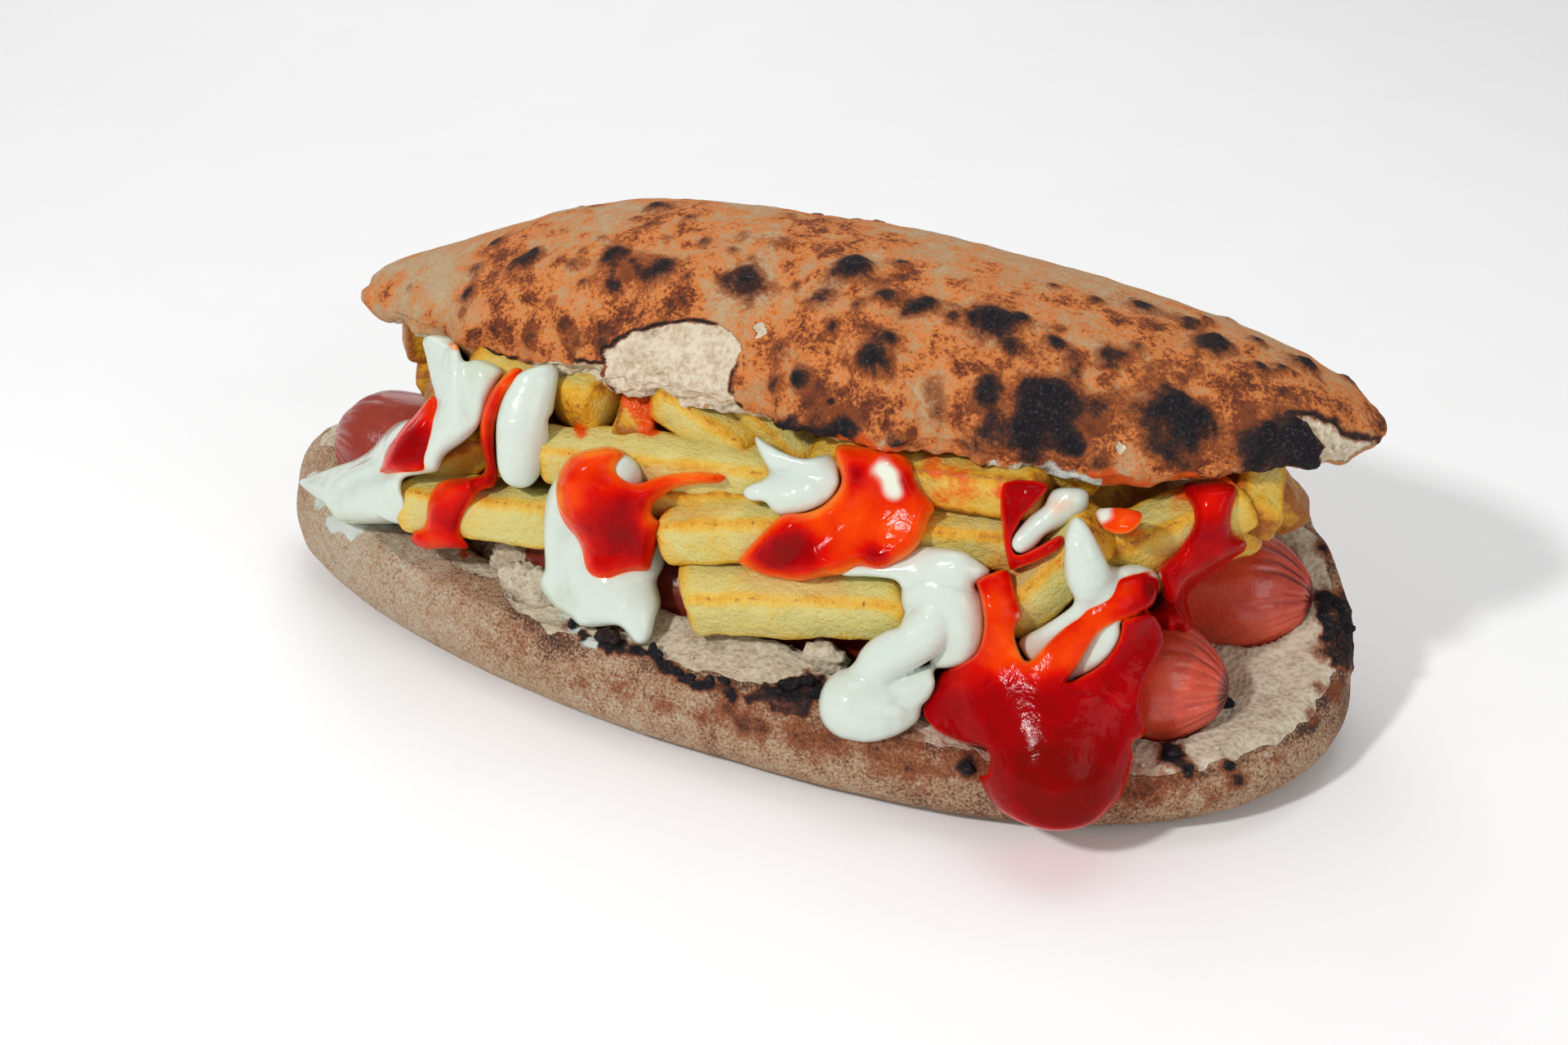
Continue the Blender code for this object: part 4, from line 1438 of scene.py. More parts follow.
@dataclass
class LowerHalf:
    """The lower half: a boat of baked dough with a ragged rim and a torn crumb trough.

    The rim's hills and its ledge are given as angle, width and height, the noises of its
    edges as height, size and seed.
    """

    leaf: Leaf = Leaf((0.0, 2.5), 126.4, 56.0, 0.17, (1.75, 2.7), 0.92)
    rim_height: float = 23.0
    rim_waves: float = 1.2
    rim_hills: tuple[tuple[float, float, float], ...] = (
        (math.pi / 2, 1.1, 22.0), (-0.72, 0.36, -8.0), (0.42, 0.3, 9.0), (-0.2, 0.25, -2.0))
    floor_height: float = 17.0
    columns: int = 700
    insets: tuple[float, ...] = (10, 4.5, 1.2, 0, 0.8, 2.6, 5.0, 11.5, 17.0, 22.0)
    belly_levels: tuple[float, ...] = (0.0, 2.4, 6.0, 11.0)
    shoulder: float = 0.82
    ledge: tuple[float, float, float] = (-1.45, 0.7, 4.2)
    middle_inset: float = 60.0
    rows_between: tuple[int, ...] = (7, 7, 8, 26, 9, 8, 18, 15, 10)
    floor_rows: int = 24
    base_rows: int = 8
    tip_lift: float = 4.0
    sausage_gap: float = 0.35
    hidden_spots: int = 46
    hidden_reach: float = 6.5
    jagged: Layers = ((5.0, 3.0, 15), (4.0, 1.3, 17))
    wavering: Layers = ((0.45, 7.0, 31), (0.35, 2.4, 32))
    ragged: Layers = ((1.2, 5.5, 51), (0.5, 2.6, 53))

    def rim(self, angles: Array) -> Array:
        """Find the rim's height: high behind, low where the sauce runs over.

        Args:
            angles: Angles in radians.

        Returns:
            Heights in millimetres.
        """
        waves = self.rim_waves * np.sin(7 * angles) * (np.sin(angles) < 0)
        hills = sum(height * hill(angles, at, width) for at, width, height in self.rim_hills)
        return self.rim_height + hills + waves

    def levels(self, angles: Array) -> list[Array]:
        """Find the heights that go with the insets, from the base up and into the trough.

        Args:
            angles: Angles in radians.

        Returns:
            For each inset, its height at every angle.
        """
        rim = self.rim(angles)
        at, width, rise = self.ledge
        ledge = rim + rise * hill(angles, at, width)
        belly = [level + 0 * rim for level in self.belly_levels]
        return [*belly, self.shoulder * rim, rim - 0.8, rim, (rim + ledge) / 2, ledge - 1,
                self.floor_height + 0 * rim]

    def plain_skin(self) -> tuple[Skin, Array]:
        """Sweep the profile round the outline.

        Rows run from the base's middle, out and up the belly, over the rim and down the
        inner wall to the trough's middle. Between the profile's knots the inset and the
        height follow Catmull-Rom curves.

        Returns:
            The skin, and for each row its place on the profile, one knot to the next.
        """
        angles = self.leaf.even_angles(self.columns)
        edge_x, edge_y = self.leaf.edge(angles)
        place = np.concatenate([np.linspace(knot, knot + 1, count, endpoint=False)
                                for knot, count in enumerate(self.rows_between)])
        place = np.concatenate([np.zeros(self.base_rows), place,
                                np.full(self.floor_rows, len(self.insets) - 1.0)])
        spread = np.ones(len(place))
        spread[:self.base_rows] = np.linspace(0.06, 1, self.base_rows, endpoint=False)
        spread[-self.floor_rows:] = np.linspace(1, 0.02, self.floor_rows)
        inset = smooth_curve(np.array(self.insets), place)[:, None]
        level = smooth_curve(np.array(self.levels(angles)), place)
        shrink = 1 - inset / self.leaf.inset_reach(edge_x, edge_y)
        shrink = shrink * spread[:, None]
        lift = self.tip_lift * hill(angles, math.pi, 0.4) * smooth_step(place, 0.0, 2.0)[:, None]
        lift = lift * smooth_step(place, 9.0, 7.5)[:, None]
        x, y = self.leaf.drawn_in(edge_x, edge_y, shrink)
        grid = np.stack([x, y, level + lift], axis=-1)
        middle = np.array([*self.leaf.centre, 0.0])
        skin = Skin(grid, (middle, middle + [0, 0, self.floor_height]))
        along = place + np.where(spread < 1, np.where(place > 5, 1 - spread, spread - 1), 0)
        return skin, along

    def distance(self, points: Array) -> Array:
        """Measure to the plain form, by its profile at the point's angle.

        The point's place across the outline gives its inset. Then the distance is that to
        the profile's polygon of insets and heights.

        Args:
            points: Places in the working frame.

        Returns:
            Signed distances, close to true ones along the flanks.
        """
        fine = np.linspace(-math.pi, math.pi, 1441)
        edge_x, edge_y = self.leaf.edge(fine)
        centre = np.array(self.leaf.centre)
        bearing = np.unwrap(np.arctan2(edge_y - centre[1], edge_x - centre[0]))
        toward = points[:, :2] - centre
        turn = np.arctan2(toward[:, 1], toward[:, 0])
        angles = np.interp(turn, bearing, fine, period=None)
        x, y = self.leaf.edge(angles)
        share = np.hypot(*toward.T) / np.maximum(np.hypot(x - centre[0], y - centre[1]), TINY)
        inset = (1 - share) * self.leaf.inset_reach(x, y)
        levels = self.levels(angles)
        corners = [(np.full(len(points), float(knot)), level) for knot, level in
                   zip((self.middle_inset, *self.insets, self.middle_inset),
                       (levels[0], *levels, levels[-1]))]
        return polygon_distance(inset, points[:, 2], corners)

    def box(self) -> Box:
        """Return the box that holds the half."""
        return np.array([-130.0, -60.0, 0.0]), np.array([130.0, 60.0, 50.0])

    def scorch(self, skin: Skin, row: Array) -> Array:
        """Find how burnt the plain skin is, where the photograph shows it and behind.

        Args:
            skin: The plain skin.
            row: Each point's place on the profile.

        Returns:
            Numbers from 0 to 1.
        """
        points = skin.grid
        char = spread_spots(points, seen_spots(points, skin.facing, LOWER_SCORCHES), 11)
        rear = (points[..., 1] > 20) & (row > 2) & (row < 6.5)
        hidden = scattered_spots(points, rear, self.hidden_spots, self.hidden_reach, 5)
        char = np.maximum(char, spread_spots(points, hidden, 13))
        edge = outlines_distance(*VIEW.project(points), CHARRED_OUTLINES)
        burnt = smooth_step(edge + layered(points, self.jagged), 5.0, -4.0)
        burnt = burnt * (0.84 + 0.34 * soft_noise(points, 2.4, 19))
        return np.maximum(char, np.clip(burnt, 0, 1) * (skin.facing > -0.1))

    def relief(self, points: Array, row: Array, char: Array, crumb: Array) -> Array:
        """Find how far the skin stands out from its plain form.

        The crust rolls by noise of 24 and 5 mm. The rim is torn by finer noise, burnt spots
        are crusty, and the crumb is pitted by pores.

        Args:
            points: The plain skin's points.
            row: Each one's place on the profile.
            char: How burnt it is.
            crumb: Whether it is torn.

        Returns:
            Heights in millimetres.
        """
        rolling = 0.9 * rough_noise(points, 24.0, 2, 41) + 0.28 * rough_noise(points, 5.0, 2, 43)
        torn = smooth_step(row, 4.3, 5.0) * smooth_step(row, 6.4, 5.4)
        pores = pore_distance(points, 3.4, 61)
        pitted = 0.35 * (smooth_step(pores, 0.05, 0.6) - 0.8) + 0.4 * soft_noise(points, 4.5, 63)
        crusty = char * (0.5 + 0.6 * soft_noise(points, 1.7, 71))
        total = rolling + torn * layered(points, self.ragged) + crumb * pitted + crusty
        return total * smooth_step(row, 0.6, 2.4)

    def baked(self, skin: Skin, row: Array, border: Array, floury: Array) -> Array:
        """Find how brown the plain skin is: most at the right, at the rim and at torn edges.

        Args:
            skin: The plain skin.
            row: Each point's place on the profile.
            border: The row at which the torn crumb starts.
            floury: Where that border stays pale.

        Returns:
            Numbers from about 0 to 1.
        """
        points = skin.grid
        right = smooth_step(points[..., 0], -70.0, 60.0)
        near_rim = smooth_step(row, 3.0, 5.0)
        bake = 0.28 + 0.16 * right + 0.10 * near_rim * right
        bake = bake + 0.22 * rough_noise(points, 26.0, 2, 81)
        bake = bake + spot_shades(points, LOWER_TOASTED) * (skin.facing > -0.1)
        lining = np.exp(-(((row - border + 0.35) / 0.4)**2))
        lining = np.clip(lining * (0.5 + 0.8 * soft_noise(points, 8.0, 83)), 0, 1)
        return np.where(row < 1.5, 0.5, bake + 0.45 * lining * (1 - floury))

    def build(self, larder: Larder) -> Skin:
        """Shape, mark and dress the lower half, with crumbs on it.

        Whatever would lie in a frankfurter is lowered until it lies under it.

        Args:
            larder: Gives the material.

        Returns:
            The finished skin.
        """
        skin, along = self.plain_skin()
        points, row = skin.grid, along[:, None] + np.zeros(self.columns)
        char = self.scorch(skin, row)
        floury = smooth_step(points[..., 0], -35.0, -60.0) * (points[..., 1] < 0)
        bitten = smooth_step(points[..., 0], 82.0, 98.0) * smooth_step(points[..., 1], 12.0, -2.0)
        border = 5.35 + 1.5 * floury - 0.75 * bitten + layered(points, self.wavering)
        crumb = smooth_step(row - border, -0.15, 0.2)
        marks = {"bake": self.baked(skin, row, border, floury), "char": char, "crumb": crumb,
                 "smear": spread_spots(points, seen_spots(points, skin.facing, LOWER_SMEARS), 23),
                 "film": spot_shades(points, LOWER_FILMS)}
        skin.swell(self.relief(points, row, char, crumb))
        for rod in (REAR_ROD, FRONT_ROD):
            skin.grid = rod.sink(skin.grid, self.sausage_gap)
        skin.grid[..., 2] = np.maximum(skin.grid[..., 2], 0.0)
        piece = skin.write("lower_half", larder.materials[Slot.PALE_CRUST], marks)
        larder.dress(piece, Slot.PALE_CRUST, "bread_bottom")
        Crumbs().build(larder, skin, crumb)
        return skin


SHOWN_CRUMBS = (
    (733, 768, 2.4, 1.1, 3.6, 0.84), (743, 785, 2.8, 1.2, 1.6, 0.84),
    (727, 753, 1.4, 1.0, 2.4, 0.9), (1500, 865, 1.6, 1.2, 1.3, 1.0),
    (1433, 925, 1.8, 1.2, 1.2, 1.0), (1505, 938, 1.2, 1.0, 0.8, 1.0),
    (1457, 941, 1.0, 0.9, 0.9, 1.0), (968, 842, 2.2, 1.3, 0.9, 1.0),
    (990, 838, 1.9, 1.3, 1.0, 1.0), (1000, 852, 1.6, 1.0, 1.0, 1.0),
    (950, 850, 1.5, 1.0, 0.7, 1.0), (806, 806, 1.3, 0.9, 1.2, 1.0),
    (800, 798, 1.0, 0.9, 1.4, 1.0), (887, 838, 1.4, 0.9, 1.0, 1.0),
    (828, 824, 1.3, 0.9, 1.0, 1.0), (1640, 745, 1.6, 1.3, 1.1, 1.0),
    (1650, 775, 1.4, 1.2, 1.0, 1.0), (1186, 944, 1.6, 1.0, 1.2, 1.0),
    (660, 722, 1.2, 0.9, 1.3, 0.8), (690, 755, 1.3, 1.0, 1.4, 0.9),
    (700, 770, 1.2, 0.9, 1.2, 0.9), (600, 682, 5.0, 2.6, 3.0, 0.0),
    (622, 688, 5.4, 2.8, 3.4, 0.0), (645, 694, 5.0, 2.8, 3.8, 0.0),
    (660, 702, 3.6, 2.4, 3.0, 0.0), (634, 704, 5.5, 3.0, 5.4, 0.0),
    (640, 728, 5.0, 2.6, 5.0, 0.0), (657, 738, 5.0, 2.6, 5.4, 0.0),
    (618, 697, 5.0, 2.8, 4.4, 0.0), (985, 812, 5.0, 2.4, 3.4, 0.0),
    (1010, 818, 5.0, 2.4, 3.6, 0.0), (1035, 822, 5.0, 2.4, 3.6, 0.0),
    (1060, 826, 5.0, 2.4, 3.4, 0.0), (960, 806, 5.0, 2.4, 3.0, 0.0),
    (845, 832, 1.1, 0.8, 0.9, 1.0), (870, 836, 1.0, 0.8, 1.1, 1.0),
    (1550, 925, 1.1, 0.9, 0.7, 0.3),
)


@dataclass
class Crumbs:
    """Charred flakes and crumbs that lie on the lower half, all in one piece."""

    loose: int = 60
    loose_size: float = 0.45
    loose_char: float = 0.6
    roughness: float = 0.45
    rough_size: float = 1.2
    rows: int = 14
    columns: int = 20
    sink: float = 0.35
    bake: float = 0.35
    seed: int = 401

    def build(self, larder: Larder, skin: Skin, crumb: Array) -> bpy.types.Object:
        """Shape each flake as a ball, roughen it by noise and set it on the bread's skin.

        Args:
            larder: Gives the material.
            skin: The lower half's skin.
            crumb: Where that skin is torn.

        Returns:
            The new piece.
        """
        chance = np.random.default_rng(self.seed)
        flakes = [(VIEW.find(skin.grid, skin.facing, across, down), np.array(sizes), char)
                  for across, down, *sizes, char in SHOWN_CRUMBS]
        open_places = np.flatnonzero(((crumb > 0.5) & (skin.facing > 0.1)).ravel())
        for place in chance.choice(open_places, self.loose, replace=False):
            sizes = self.loose_size * (0.4 + chance.random(3) * 0.9)
            char = self.loose_char * round(chance.random())
            flakes.append((skin.grid.reshape(-1, 3)[place], sizes, char))
        ball = unit_ball(self.rows, self.columns).reshape(-1, 3)
        ball = np.concatenate([ball, [[0, 0, -1], [0, 0, 1]]])
        faces = globe_faces(self.rows, self.columns)
        corners, quads, burnt = [], [], []
        for number, (place, sizes, char) in enumerate(flakes):
            rough = rough_noise(ball * sizes + 9.0 * number, self.rough_size, 3, self.seed)
            rough = 1 + self.roughness * rough
            lifted = place + [0, 0, sizes[2] * (1 - self.sink)]
            corners.append(lifted + ball * sizes * rough[:, None])
            quads += [block + number * len(ball) for block in faces]
            burnt.append(np.full(len(ball), char))
        char = np.concatenate(burnt)
        marks = {"char": char, "bake": np.full(char.shape, self.bake), "crumb": 1 - char}
        piece = make_piece("crumbs", np.concatenate(corners), quads,
                           larder.materials[Slot.PALE_CRUST], marks)
        return larder.dress(piece, Slot.PALE_CRUST)


@dataclass
class UpperHalf:
    """The upper half: a blistered, scorched dome with a torn lip and a hollow underside."""

    leaf: Leaf = Leaf((8.0, 13.0), 116.0, 47.0, 0.12, (1.8, 2.4), 0.9)
    lip_height: float = 66.0
    side_slope: float = 0.02
    depth_slope: float = -0.16
    rear_sag: float = 0.0085
    dome_height: float = 32.5
    dome_fall: float = 0.035
    dome_power: float = 2.3
    dome_roundness: float = 0.62
    hollow: float = 11.0
    lip_thickness: float = 3.5
    lip_insets: tuple[float, ...] = (9.0, 5.0, 1.6, 0.0)
    lip_levels: tuple[float, ...] = (1.5, 0.0, 0.8)
    lip_droop: float = 3.0
    columns: int = 620
    under_rows: int = 20
    lip_rows: int = 32
    dome_rows: int = 104
    hidden_spots: int = 42
    hidden_reach: float = 6.0
    brown_spots: int = 420
    brown_reach: float = 4.2
    jagged: Layers = ((3.5, 3.0, 121), (2.0, 1.3, 123))
    wavering: Layers = ((0.10, 7.0, 131), (0.07, 2.0, 133))
    crusty: Layers = ((0.55, 2.0, 151), (0.3, 0.9, 153))
    ragged: Layers = ((1.2, 6.0, 171), (0.8, 2.3, 173))

    def outline(self, angles: Array) -> tuple[Array, Array]:
        """Find the lip's line, ragged along its front by two waves and one torn bay.

        Args:
            angles: Angles in radians.

        Returns:
            x and y.
        """
        x, y = self.leaf.edge(angles)
        front = np.clip(-np.sin(angles), 0, 1)
        ragged = 1.6 * np.sin(0.13 * x + 0.6) + 1.0 * np.sin(0.31 * x)
        return x, y + front * (ragged + 4.0 * np.exp(-(((x + 4) / 22)**2)))

    def lip_plane(self, x: Array, y: Array) -> Array:
        """Return the height of the tilted, sagging plane that the lip follows."""
        depth = y - self.leaf.centre[1]
        return (self.lip_height + self.side_slope * x + self.depth_slope * depth
                - self.rear_sag * np.clip(depth, 0, None)**2)

    def plain_skin(self) -> tuple[Skin, Array]:
        """Sweep the half's section round its outline.

        Rows run from the hollow underside's middle to the lip, round it and over the dome.
        The dome's height is its rise times (1 - share ** power) ** roundness.

        Returns:
            The skin, and for each row 0 to 1 under, 1 to 2 round the lip, 2 to 3 above.
        """
        angles = self.leaf.even_angles(self.columns)
        edge_x, edge_y = self.outline(angles)
        along = np.concatenate([np.linspace(0.06, 1, self.under_rows, endpoint=False),
                                np.linspace(1, 2, self.lip_rows, endpoint=False),
                                2 + np.linspace(0, 1, self.dome_rows, endpoint=False)])[:, None]
        under, lip, over = (np.clip(along - floor, 0, 1) for floor in range(3))
        knots = lip[:, 0] * 3
        inset = smooth_curve(np.array(self.lip_insets), knots)[:, None]
        levels = np.array([*self.lip_levels, self.lip_thickness])
        round_lip = smooth_curve(levels, knots)[:, None]
        shrink = 1 - inset / self.leaf.inset_reach(edge_x, edge_y)
        shrink = shrink * under * np.cos(over * math.pi / 2)
        x, y = self.leaf.drawn_in(edge_x, edge_y, shrink)
        full = (1 + 0.06 * np.exp(-(((x + 15) / 50)**2)) - 0.26 * np.exp(-(((x + 92) / 30)**2)))
        rise = (self.dome_height - self.dome_fall * x) * full
        dome = rise * np.clip(1 - np.abs(shrink)**self.dome_power, 0, 1)**self.dome_roundness
        dome = dome * (1 - self.lip_thickness / self.dome_height) + self.lip_thickness
        height = np.where(along < 1, levels[0] + self.hollow * (1 - under**2),
                          np.where(along < 2, round_lip, dome))
        front = smooth_step(y, -8.0, -30.0) * np.exp(-(((x - 82) / 21)**2))
        height = height - self.lip_droop * front
        grid = np.stack([x, y, self.lip_plane(x, y) + height], axis=-1)
        centre_x, centre_y = self.leaf.centre
        crown = (self.dome_height - self.dome_fall * centre_x) * full[-1, 0]
        crown = crown * (1 - self.lip_thickness / self.dome_height) + self.lip_thickness
        poles = (np.array([centre_x, centre_y, self.lip_height + levels[0] + self.hollow]),
                 np.array([centre_x, centre_y, grid[-1, :, 2].max()]))
        return Skin(grid, poles), along[:, 0]

    def scorch(self, skin: Skin, row: Array, border: Array, seen: list[Spot],
               hidden: list[Spot]) -> Array:
        """Find how burnt the plain skin is, where the photograph shows it and behind.

        Args:
            skin: The plain skin.
            row: Each point's place on the section.
            border: Its distance from the torn places.
            seen: The burnt spots that the photograph shows.
            hidden: Those behind.

        Returns:
            Numbers from 0 to 1.
        """
        points = skin.grid
        char = np.maximum(spread_spots(points, seen, 111), spread_spots(points, hidden, 113))
        char = char * smooth_step(row, 1.6, 1.95)
        across, down = VIEW.project(points)
        jagged = layered(points, self.jagged)
        scab = smooth_step(soft_noise(points, 11.0, 125), -0.1, 0.2)
        scab = scab * np.exp(-(((border - 2.5) / 2.8)**2)) * (down < 480 + 8 * jagged)
        scab = scab * (across < 914)
        band = (across > 945) & (across < 1060) & (down > 500) | (across > 1570)
        scab = scab + 0.9 * np.exp(-(((border - 3.0) / 5.0)**2)) * band
        edge = outlines_distance(across, down, UPPER_CHARRED) + 1.6 * jagged
        burnt = smooth_step(edge, 6.0, -4.0) * (0.88 + 0.28 * soft_noise(points, 2.6, 127))
        char = np.maximum(char, np.clip(burnt, 0, 1) * self.seen_above(skin, row))
        return np.maximum(char * (1 - smooth_step(border, 2.0, -3.0)), np.clip(scab, 0, 1))

    def seen_above(self, skin: Skin, row: Array) -> Array:
        """Return which points of the lip and the dome the photograph shows."""
        return (skin.facing > 0.0) & (row > 1.5)

    def blisters(self, points: Array, spots: list[Spot]) -> Array:
        """Raise a low, flat-topped blister under each burnt spot.

        Args:
            points: The plain skin's points.
            spots: The burnt spots.

        Returns:
            Heights in millimetres.
        """
        blister = np.zeros(points.shape[:-1])
        for middle, reach, depth in spots:
            far = np.linalg.norm(points - middle, axis=-1) / (reach * 1.05)
            height = min(0.35 * reach, 1.5) * (0.4 + 0.6 * depth)
            blister = np.maximum(blister, height * smooth_step(far, 1.15, 0.45))
        return blister

    def relief(self, points: Array, row: Array, border: Array, char: Array,
               crumb: Array) -> Array:
        """Find how far the skin stands out from its plain form, apart from its blisters.

        Args:
            points: The plain skin's points.
            row: Each one's place on the section.
            border: Its distance from the torn places.
            char: How burnt it is.
            crumb: Whether it is torn.

        Returns:
            Heights in millimetres.
        """
        rolling = 0.8 * rough_noise(points, 26.0, 2, 141) + 0.32 * rough_noise(points, 6.0, 3, 143)
        pores = pore_distance(points, 2.6, 161)
        pitted = 0.9 * (smooth_step(pores, 0.05, 0.6) - 0.8) + 0.35 * soft_noise(points, 1.2, 163)
        sunk = -1.5 * smooth_step(border, 1.0, -9.0)
        lip = smooth_step(row, 1.2, 1.7) * smooth_step(row, 2.25, 2.0)
        return (rolling + char**1.5 * layered(points, self.crusty) + crumb * (pitted + sunk)
                + lip * layered(points, self.ragged))

    def build(self, larder: Larder) -> Skin:
        """Shape, mark and dress the upper half.

        Args:
            larder: Gives the material.

        Returns:
            The finished skin.
        """
        skin, along = self.plain_skin()
        points, row = skin.grid, along[:, None] + np.zeros(self.columns)
        x, y = points[..., 0], points[..., 1]
        back = (skin.facing < 0.05) & (row > 2.05) & (np.abs(x - 8) < 85)
        seen = seen_spots(points, skin.facing, UPPER_SCORCHES)
        hidden = scattered_spots(points, back, self.hidden_spots, self.hidden_reach, 105)
        across, down = VIEW.project(points)
        border = outlines_distance(across, down, TORN_OUTLINES) + layered(points, self.jagged)
        border = np.where(self.seen_above(skin, row), border, FAR)
        lip_edge = 1.40 + 0.26 * smooth_step(across, 1060, 990) + layered(points, self.wavering)
        lip_crumb = smooth_step(lip_edge - row, -0.01, 0.01)
        crumb = np.maximum(smooth_step(border, 1.0, -1.0), lip_crumb)
        char = self.scorch(skin, row, border, seen, hidden)
        brown = scattered_spots(points, row > 2.02, self.brown_spots, self.brown_reach, 191)
        browned = spread_spots(points, brown, 193)
        left = smooth_step(x, -50.0, -100.0)
        bake = 0.22 + 0.16 * smooth_step(y, 34.0, -22.0) + 0.46 * browned
        bake = bake - 0.10 * left * smooth_step(y, -15.0, 5.0)
        bake = bake + 0.20 * rough_noise(points, 22.0, 2, 181)
        bake = bake + spot_shades(points, UPPER_TOASTED) * (skin.facing > 0)
        on_front = smooth_step(skin.facing, -0.2, 0.1) * smooth_step(row, 1.2, 1.5)
        whole = (1 - crumb) * (self.blisters(points, seen + hidden) + 0.35 * browned)
        skin.swell(whole + self.relief(points, row, border, char, crumb))
        piece = skin.write("upper_half", larder.materials[Slot.CRUST],
                           {"bake": bake, "char": char, "crumb": crumb,
                            "smear": spot_shades(points, UPPER_SMEARS) * on_front,
                            "film": spot_shades(points, UPPER_FILMS) * on_front})
        larder.dress(piece, Slot.CRUST, "bread_top")
        return skin


# Frankfurters ---


@dataclass
class Frankfurter:
    """A frankfurter whose skin is drawn together in star folds at both ends."""

    name: str
    node: str
    rod: Rod
    seed: int
    columns: int = 200
    cap_rows: int = 60
    straight_rows: int = 70
    folds: int = 22
    fold_depth: float = 0.75
    # Painted shade: how strongly the dark fold colour is painted over the stretch that the next
    # field gives, where the bread or the fries shade the skin.
    painted_shade: float = 0.0
    painted_shade_reach: tuple[float, float] = (-70.0, -90.0)

    def build(self, larder: Larder) -> bpy.types.Object:
        """Sweep a circle along the axis, close it by domes and fold the skin at the tips.

        A fold is a narrow groove along the dome, deepest a few millimetres from the tip.

        Args:
            larder: Gives the material.

        Returns:
            The new piece.
        """
        chance = np.random.default_rng(self.seed)
        start, end = np.array(self.rod.start), np.array(self.rod.end)
        axis = Vector(end - start)
        turn = np.array(axis.to_track_quat("Z", "Y").to_matrix())
        half, radius = axis.length / 2, self.rod.radius
        quarter = np.linspace(0.03, 1, self.cap_rows) * math.pi / 2
        along = np.concatenate([-half - radius * np.cos(quarter),
                                np.linspace(-half, half, self.straight_rows)[1:-1],
                                half + radius * np.cos(quarter[::-1])])[:, None]
        girth = np.concatenate([np.sin(quarter), np.ones(self.straight_rows - 2),
                                np.sin(quarter[::-1])])[:, None] * radius
        angles = np.linspace(0, 2 * math.pi, self.columns, endpoint=False)
        from_tip = half + radius - np.abs(along)
        fold = np.zeros((len(along), self.columns))
        for side in (-1, 1):
            places = (np.arange(self.folds) + 0.7 * chance.random(self.folds)) / self.folds
            for place, depth in zip(places, 0.35 + 0.65 * chance.random(self.folds)):
                at = place * 2 * math.pi + 0.02 * from_tip
                width = 0.05 + 0.035 * depth
                groove = np.exp(-((np.sin((angles - at) / 2) * 2 / width)**2))
                reach = np.exp(-(((from_tip - 2.0) / (9.0 * depth + 2.0))**2))
                fold = np.maximum(fold, depth * groove * reach * (along * side > 0))
        local = np.stack([girth * np.cos(angles), girth * np.sin(angles),
                          along + 0 * angles], axis=-1)
        local[..., 2] += 1.2 * np.exp(-((from_tip / 2.6)**2)) * np.sign(along)
        uneven = layered(local, ((0.25, 12.0, self.seed), (0.08, 3.0, self.seed)))
        skin = Skin(local, (local[0].mean(axis=0), local[-1].mean(axis=0)))
        skin.turn_outward()
        skin.swell(uneven - self.fold_depth * fold)
        skin.place(turn, (start + end) / 2)
        # The "fold" mark is painted shade: the dark fold colour in the grooves, at the pinched tips
        # and over the shaded stretch.
        painted_tip_shade = np.exp(-((from_tip / 1.2)**2)) + 0 * angles
        painted_shade = self.painted_shade * smooth_step(along, *self.painted_shade_reach)
        piece = skin.write(self.name, larder.materials[Slot.SKIN],
                           {"fold": np.maximum(np.maximum(fold, painted_tip_shade), painted_shade)})
        return larder.dress(piece, Slot.SKIN, self.node)


# Fries ---


